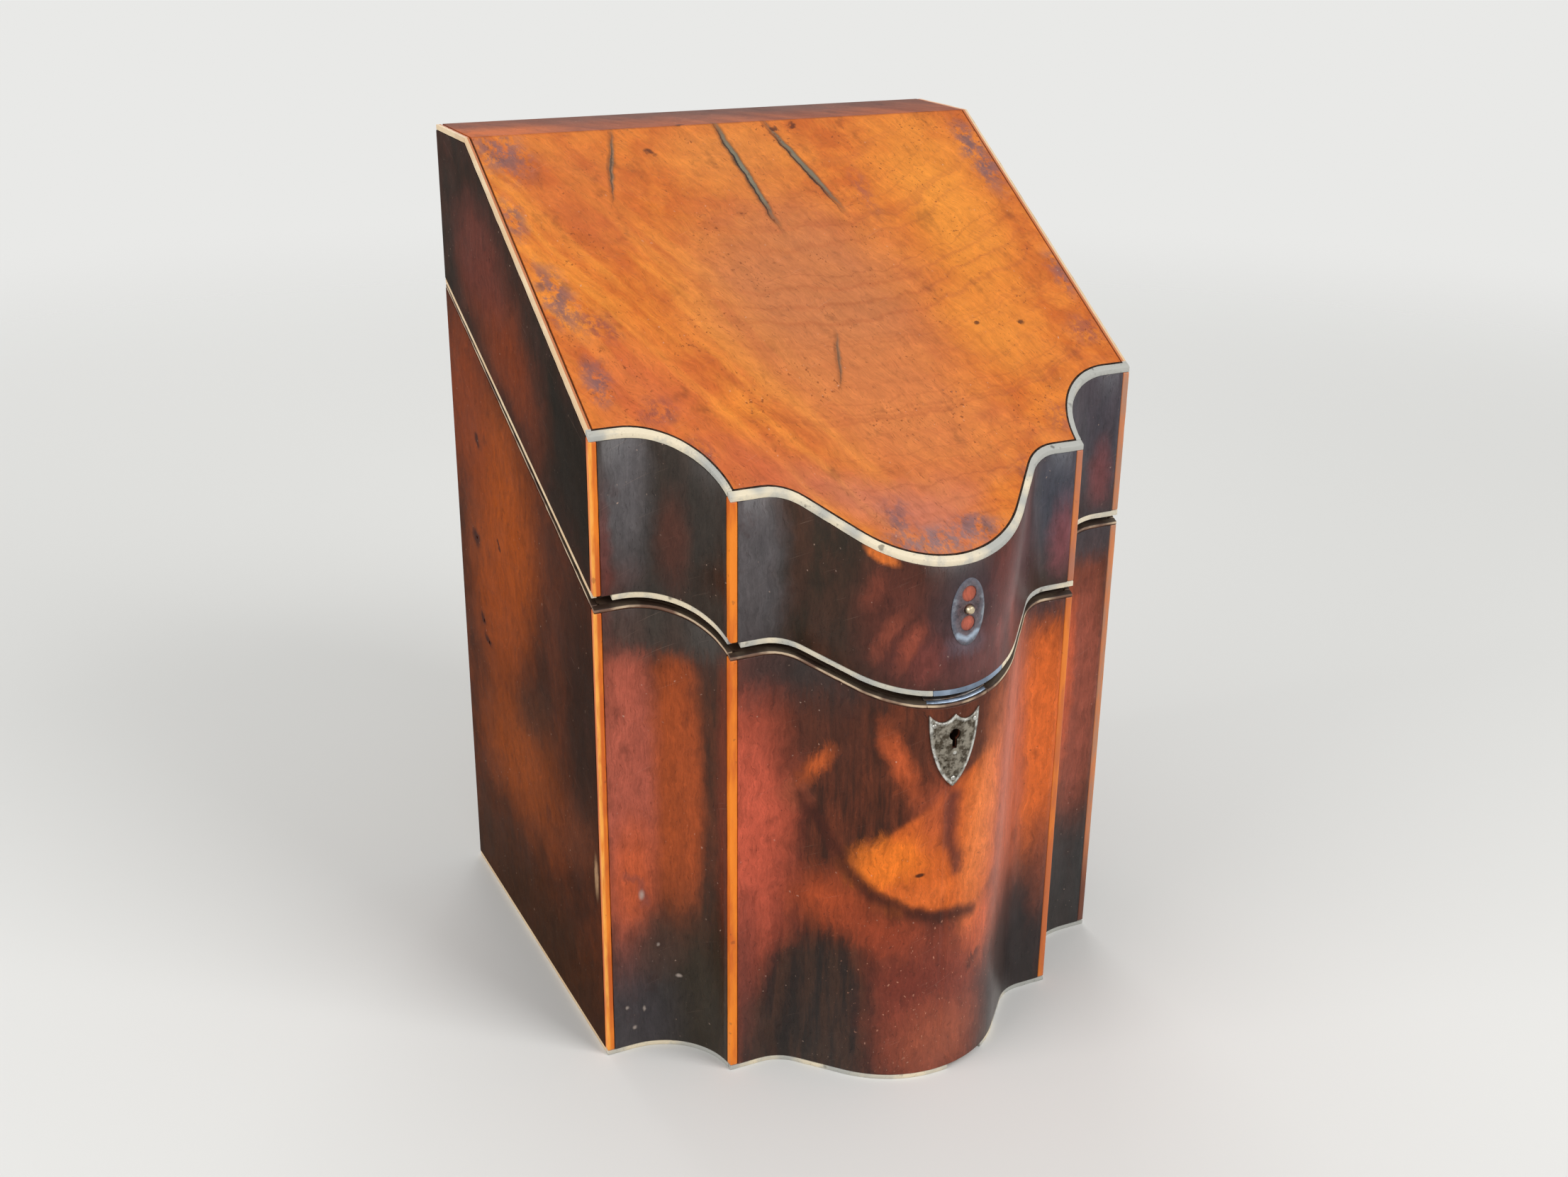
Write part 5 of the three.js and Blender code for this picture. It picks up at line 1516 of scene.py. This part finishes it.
class KNIFEBOX_OT_posts(bpy.types.Operator):
    """Lets the square strings into the corners and the fins"""

    bl_idname = "knifebox.posts"
    bl_label = "Posts"

    def execute(self, context):
        wood = post_finish()
        for side in ("left", "right"):
            for place in ("corner", "fin"):
                for lead, body in (("", "case"), ("lid_", "lid")):
                    node = f"{lead}{side}_{place}_string"
                    piece = softened(self.post(node), sizes().string_edge * 1.6, 3)
                    wear(piece, sizes().string_wear * 0.8)
                    placed(piece, wood, body, slot_of(node), node)
        return {"FINISHED"}

    def post(self, node):
        """The post with rings cut round it, so that its wear has something to move."""
        piece = bare_copy(node, f"{node}_post")
        end, apart = 5 * MM, 6 * MM
        height = low(node).z + end
        with editing(piece):
            while height < high(node).z - end:
                bpy.ops.mesh.select_all(action="SELECT")
                bpy.ops.mesh.bisect(plane_co=(0, 0, height), plane_no=(0, 0, 1))
                height += apart
        return piece


def shield_knots(half, foot, head):
    """The shield's outline, as points with their handles: foot, horn, cusp between the scoops, horn."""
    belly, spread, lift = head - 15 * MM, 5.7 * MM, 4.2 * MM
    scoop, cusp = 6.5 * MM, 0.8 * MM
    third = 2 / 3
    reach, hang = third * half / 2, head - third * scoop
    middle = head - cusp - third * (scoop - cusp)
    return [
        ((0, foot), (-spread, foot + lift), (spread, foot + lift)),
        ((half, head), (half, belly), (half - reach, hang)),
        ((0, head - cusp), (reach, middle), (-reach, middle)),
        ((-half, head), (reach - half, hang), (-half, belly)),
    ]


class KNIFEBOX_OT_escutcheon(bpy.types.Operator):
    """Bends the shield-shaped plate round the bow and nails it on"""

    bl_idname = "knifebox.escutcheon"
    bl_label = "Escutcheon"

    def execute(self, context):
        foot, head = low("escutcheon"), high("escutcheon")
        knots = shield_knots(head.x, foot.z, head.z)
        plate = shield_finish(shield_knots(head.x - 0.6 * MM, foot.z + 0.8 * MM, head.z - 0.7 * MM))
        bright = metal_finish("bright_silver", tone(232, 232, 226), tone(150, 146, 138), 0.2)
        thick, spare = 0.7 * MM, 2 * MM
        span = (CENTRE_HALF - 16 * MM, CENTRE_HALF + 16 * MM)
        reach = (foot.z - spare, head.z + spare)
        shell = swept("escutcheon_plate", centre_line(), *span, thick, *reach, thick + GLUE)
        cut_with(shell, self.outline(knots), "INTERSECT")
        for tool in key_tools():
            cut_with(shell, tool)
        softened(shell, 0.25 * MM, 2, 40)
        placed(shell, plate, "case", slot_of("escutcheon"), "escutcheon")
        for i in (1, 2, 3):
            node = f"escutcheon_pin_{i}"
            pin = copied(node, f"{node}_head", 0.1 * MM)
            placed(pin, bright, "case", slot_of(node), node)
        return {"FINISHED"}

    def outline(self, knots):
        """The shield's outline pushed through the bow."""
        bpy.ops.object.select_all(action="DESELECT")
        bpy.ops.curve.primitive_bezier_curve_add()
        curve = bpy.context.object
        line = curve.data.splines[0]
        line.bezier_points.add(2)
        y = BOW_Y - 6 * MM
        for point, (at, before, after) in zip(line.bezier_points, knots):
            point.handle_left_type = point.handle_right_type = "FREE"
            point.co = (at[0], y, at[1])
            point.handle_left = (before[0], y, before[1])
            point.handle_right = (after[0], y, after[1])
        line.use_cyclic_u = True
        line.resolution_u = 16
        curve.data.dimensions = "3D"
        curve.matrix_world = Matrix.Identity(4)
        bpy.ops.object.convert(target="MESH")
        piece = bpy.context.object
        with editing(piece):
            closed_up((0, 14 * MM, 0))
        return piece


class KNIFEBOX_OT_pull_scar(bpy.types.Operator):
    """Leaves the ring of old lacquer and the stub where the lid's pull stood"""

    bl_idname = "knifebox.pull_scar"
    bl_label = "Pull scar"

    def execute(self, context):
        brass = metal_finish("pull_brass", tone(206, 190, 160), tone(110, 92, 68))
        stub = copied("lid_pull_stub", "pull_stub_brass", 0.15 * MM)
        placed(stub, brass, "lid", slot_of("lid_pull_stub"), "lid_pull_stub")
        at = (low("lid_pull_stub") + high("lid_pull_stub")) / 2
        middle, film, through = CENTRE_HALF + at.x, sizes().scar_film, 16 * MM
        span = (middle - 9 * MM, middle + 9 * MM)
        reach = (at.z - 16 * MM, at.z + 16 * MM)
        ring = swept("scar_ring", centre_line(), *span, film + 0.2 * MM, *reach, film)
        centre = Matrix.Translation((at.x, BOW_Y + 8 * MM, at.z - 1 * MM))
        turned = centre @ Matrix.Rotation(QUARTER, 4, "X")
        oval = turned @ Matrix.Diagonal((7 * MM, 12.8 * MM, 1, 1))
        cut_with(ring, peg("oval", oval, 1, through, 48), "INTERSECT")
        for rise, radius, sides in ((6.9, 3.0, 32), (-4.3, 2.9, 32), (1, 2, 24)):
            place = turned @ Matrix.Translation((0, rise * MM, 0))
            cut_with(ring, peg("bare", place, radius * MM, through, sides))
        softened(ring, 0.18 * MM, 2, 40)
        placed(ring, scar_finish(at.x / MM, at.z / MM), "lid", "front_veneer")
        return {"FINISHED"}


class KNIFEBOX_OT_lock(bpy.types.Operator):
    """Finishes the lock, its bolt, the link plate and their screws"""

    bl_idname = "knifebox.lock"
    bl_label = "Lock"

    def execute(self, context):
        iron = metal_finish("iron", colours().iron, colours().rust, 0.32)
        for node in ("lock_plate", "lock_case", "drill_pin", "lock_bolt", "link_plate"):
            piece = copied(node, f"{node}_metal", sizes().metal_edge)
            placed(piece, iron, body_of(node), slot_of(node), node)
        foot, head = low("lock_plate"), high("lock_plate")
        edge = self.front_edge(foot.x, head.x)
        # The steel's blue tint is painted sheen.
        steel = metal_finish("rubbed_steel", tone(190, 204, 222), tone(128, 144, 166), 0.34)
        placed(softened(edge, sizes().metal_edge), steel, "case", "iron")
        radius = sizes().small_screw_radius
        back = Matrix.Translation((0, head.y, 0)) @ Matrix.Rotation(-QUARTER, 4, "X")
        inset = 3 * MM
        for i, x in enumerate((foot.x + inset, head.x - inset)):
            piece = screw(f"lock_screw_{i + 1}", (x, -foot.z - inset, 0), radius, back)
            placed(piece, iron, "case", "iron")
        middle = (low("link_plate").y + high("link_plate").y) / 2
        under = Matrix.Translation((0, middle, lid_at(middle)))
        under = under @ Matrix.Rotation(math.atan(LID_SLOPE), 4, "X") @ Matrix.Rotation(math.pi, 4, "X")
        inset = 3.4 * MM
        for i, x in enumerate((foot.x + inset, head.x - inset)):
            piece = screw(f"link_screw_{i + 1}", (x, 0, 0), radius, under)
            placed(piece, iron, "lid", "iron")
        return {"FINISHED"}

    def front_edge(self, left, right):
        """The steel edge of the lock that shows behind the worn string of the rim."""
        span = (CENTRE_HALF + left, CENTRE_HALF + right)
        edge = swept("lock_front_edge", centre_line(), *span, 1.25 * MM, SPARE_FOOT, SPARE_HEAD, -0.95 * MM)
        under_slope(edge, RIM_BACK - 0.1 * MM, RIM_SLOPE)
        return over_slope(edge, RIM_BACK - RIM_STRING, RIM_SLOPE)


class KNIFEBOX_OT_hinges(bpy.types.Operator):
    """Finishes the two hinges with their pins and screws"""

    bl_idname = "knifebox.hinges"
    bl_label = "Hinges"

    def execute(self, context):
        brass = metal_finish("hinge_brass", colours().brass, tone(112, 88, 52))
        iron = metal_finish("pin_iron", tone(130, 124, 116), colours().rust, 0.34)
        tilt = Matrix.Rotation(math.atan(RIM_SLOPE), 4, "X")
        metals = {"hinge_fixed_leaf": brass, "hinge_moving_leaf": brass, "hinge_pin": iron}
        radius, sunk, behind, aside = sizes().screw_radius, 0.18 * MM, 6.2 * MM, 12 * MM
        for side in ("left", "right"):
            for part, metal in metals.items():
                node = f"{side}_{part}"
                piece = copied(node, f"{node}_metal", sizes().metal_edge)
                placed(piece, metal, body_of(node), slot_of(node), node)
            pin = (low(f"{side}_hinge_pin") + high(f"{side}_hinge_pin")) / 2
            place = Matrix.Translation(pin) @ tilt
            for body, turn, across in (("case", 0, -behind), ("lid", math.pi, behind)):
                turned = place @ Matrix.Rotation(turn, 4, "X")
                for i, x in enumerate((-aside, aside)):
                    piece = screw(f"{side}_{body}_screw_{i + 1}", (x, across, -sunk), radius, turned)
                    placed(piece, brass, body, "brass")
        return {"FINISHED"}


OPERATORS = (
    KNIFEBOX_OT_stage,
    KNIFEBOX_OT_boards,
    KNIFEBOX_OT_cutlery_board,
    KNIFEBOX_OT_front_veneers,
    KNIFEBOX_OT_side_veneers,
    KNIFEBOX_OT_top_veneers,
    KNIFEBOX_OT_stringing,
    KNIFEBOX_OT_posts,
    KNIFEBOX_OT_escutcheon,
    KNIFEBOX_OT_pull_scar,
    KNIFEBOX_OT_lock,
    KNIFEBOX_OT_hinges,
)


class KNIFEBOX_PT_panel(bpy.types.Panel):
    """Lists the sizes, the colours and the pieces"""

    bl_idname = "KNIFEBOX_PT_panel"
    bl_label = "Knife box"
    bl_space_type = "VIEW_3D"
    bl_region_type = "UI"
    bl_category = "Knife Box"

    def draw(self, context):
        column = self.layout.column()
        for group in (context.scene.knife_box_sizes, context.scene.knife_box_colours):
            for key in group.bl_rna.properties.keys():
                if key not in ("rna_type", "name"):
                    column.prop(group, key)
        for operator in OPERATORS:
            column.operator(operator.bl_idname)


CLASSES = (KnifeBoxSizes, KnifeBoxColours, *OPERATORS, KNIFEBOX_PT_panel)


def register():
    for kind in CLASSES:
        bpy.utils.register_class(kind)
    bpy.types.Scene.knife_box_sizes = bpy.props.PointerProperty(type=KnifeBoxSizes)
    bpy.types.Scene.knife_box_colours = bpy.props.PointerProperty(type=KnifeBoxColours)


def unregister():
    del bpy.types.Scene.knife_box_sizes
    del bpy.types.Scene.knife_box_colours
    for kind in reversed(CLASSES):
        bpy.utils.unregister_class(kind)


def main():
    register()
    bpy.ops.knifebox.stage()
    bpy.ops.knifebox.boards()
    bpy.ops.knifebox.cutlery_board()
    bpy.ops.knifebox.front_veneers()
    bpy.ops.knifebox.side_veneers()
    bpy.ops.knifebox.top_veneers()
    bpy.ops.knifebox.stringing()
    bpy.ops.knifebox.posts()
    bpy.ops.knifebox.escutcheon()
    bpy.ops.knifebox.pull_scar()
    bpy.ops.knifebox.lock()
    bpy.ops.knifebox.hinges()


if __name__ == "__main__":
    main()
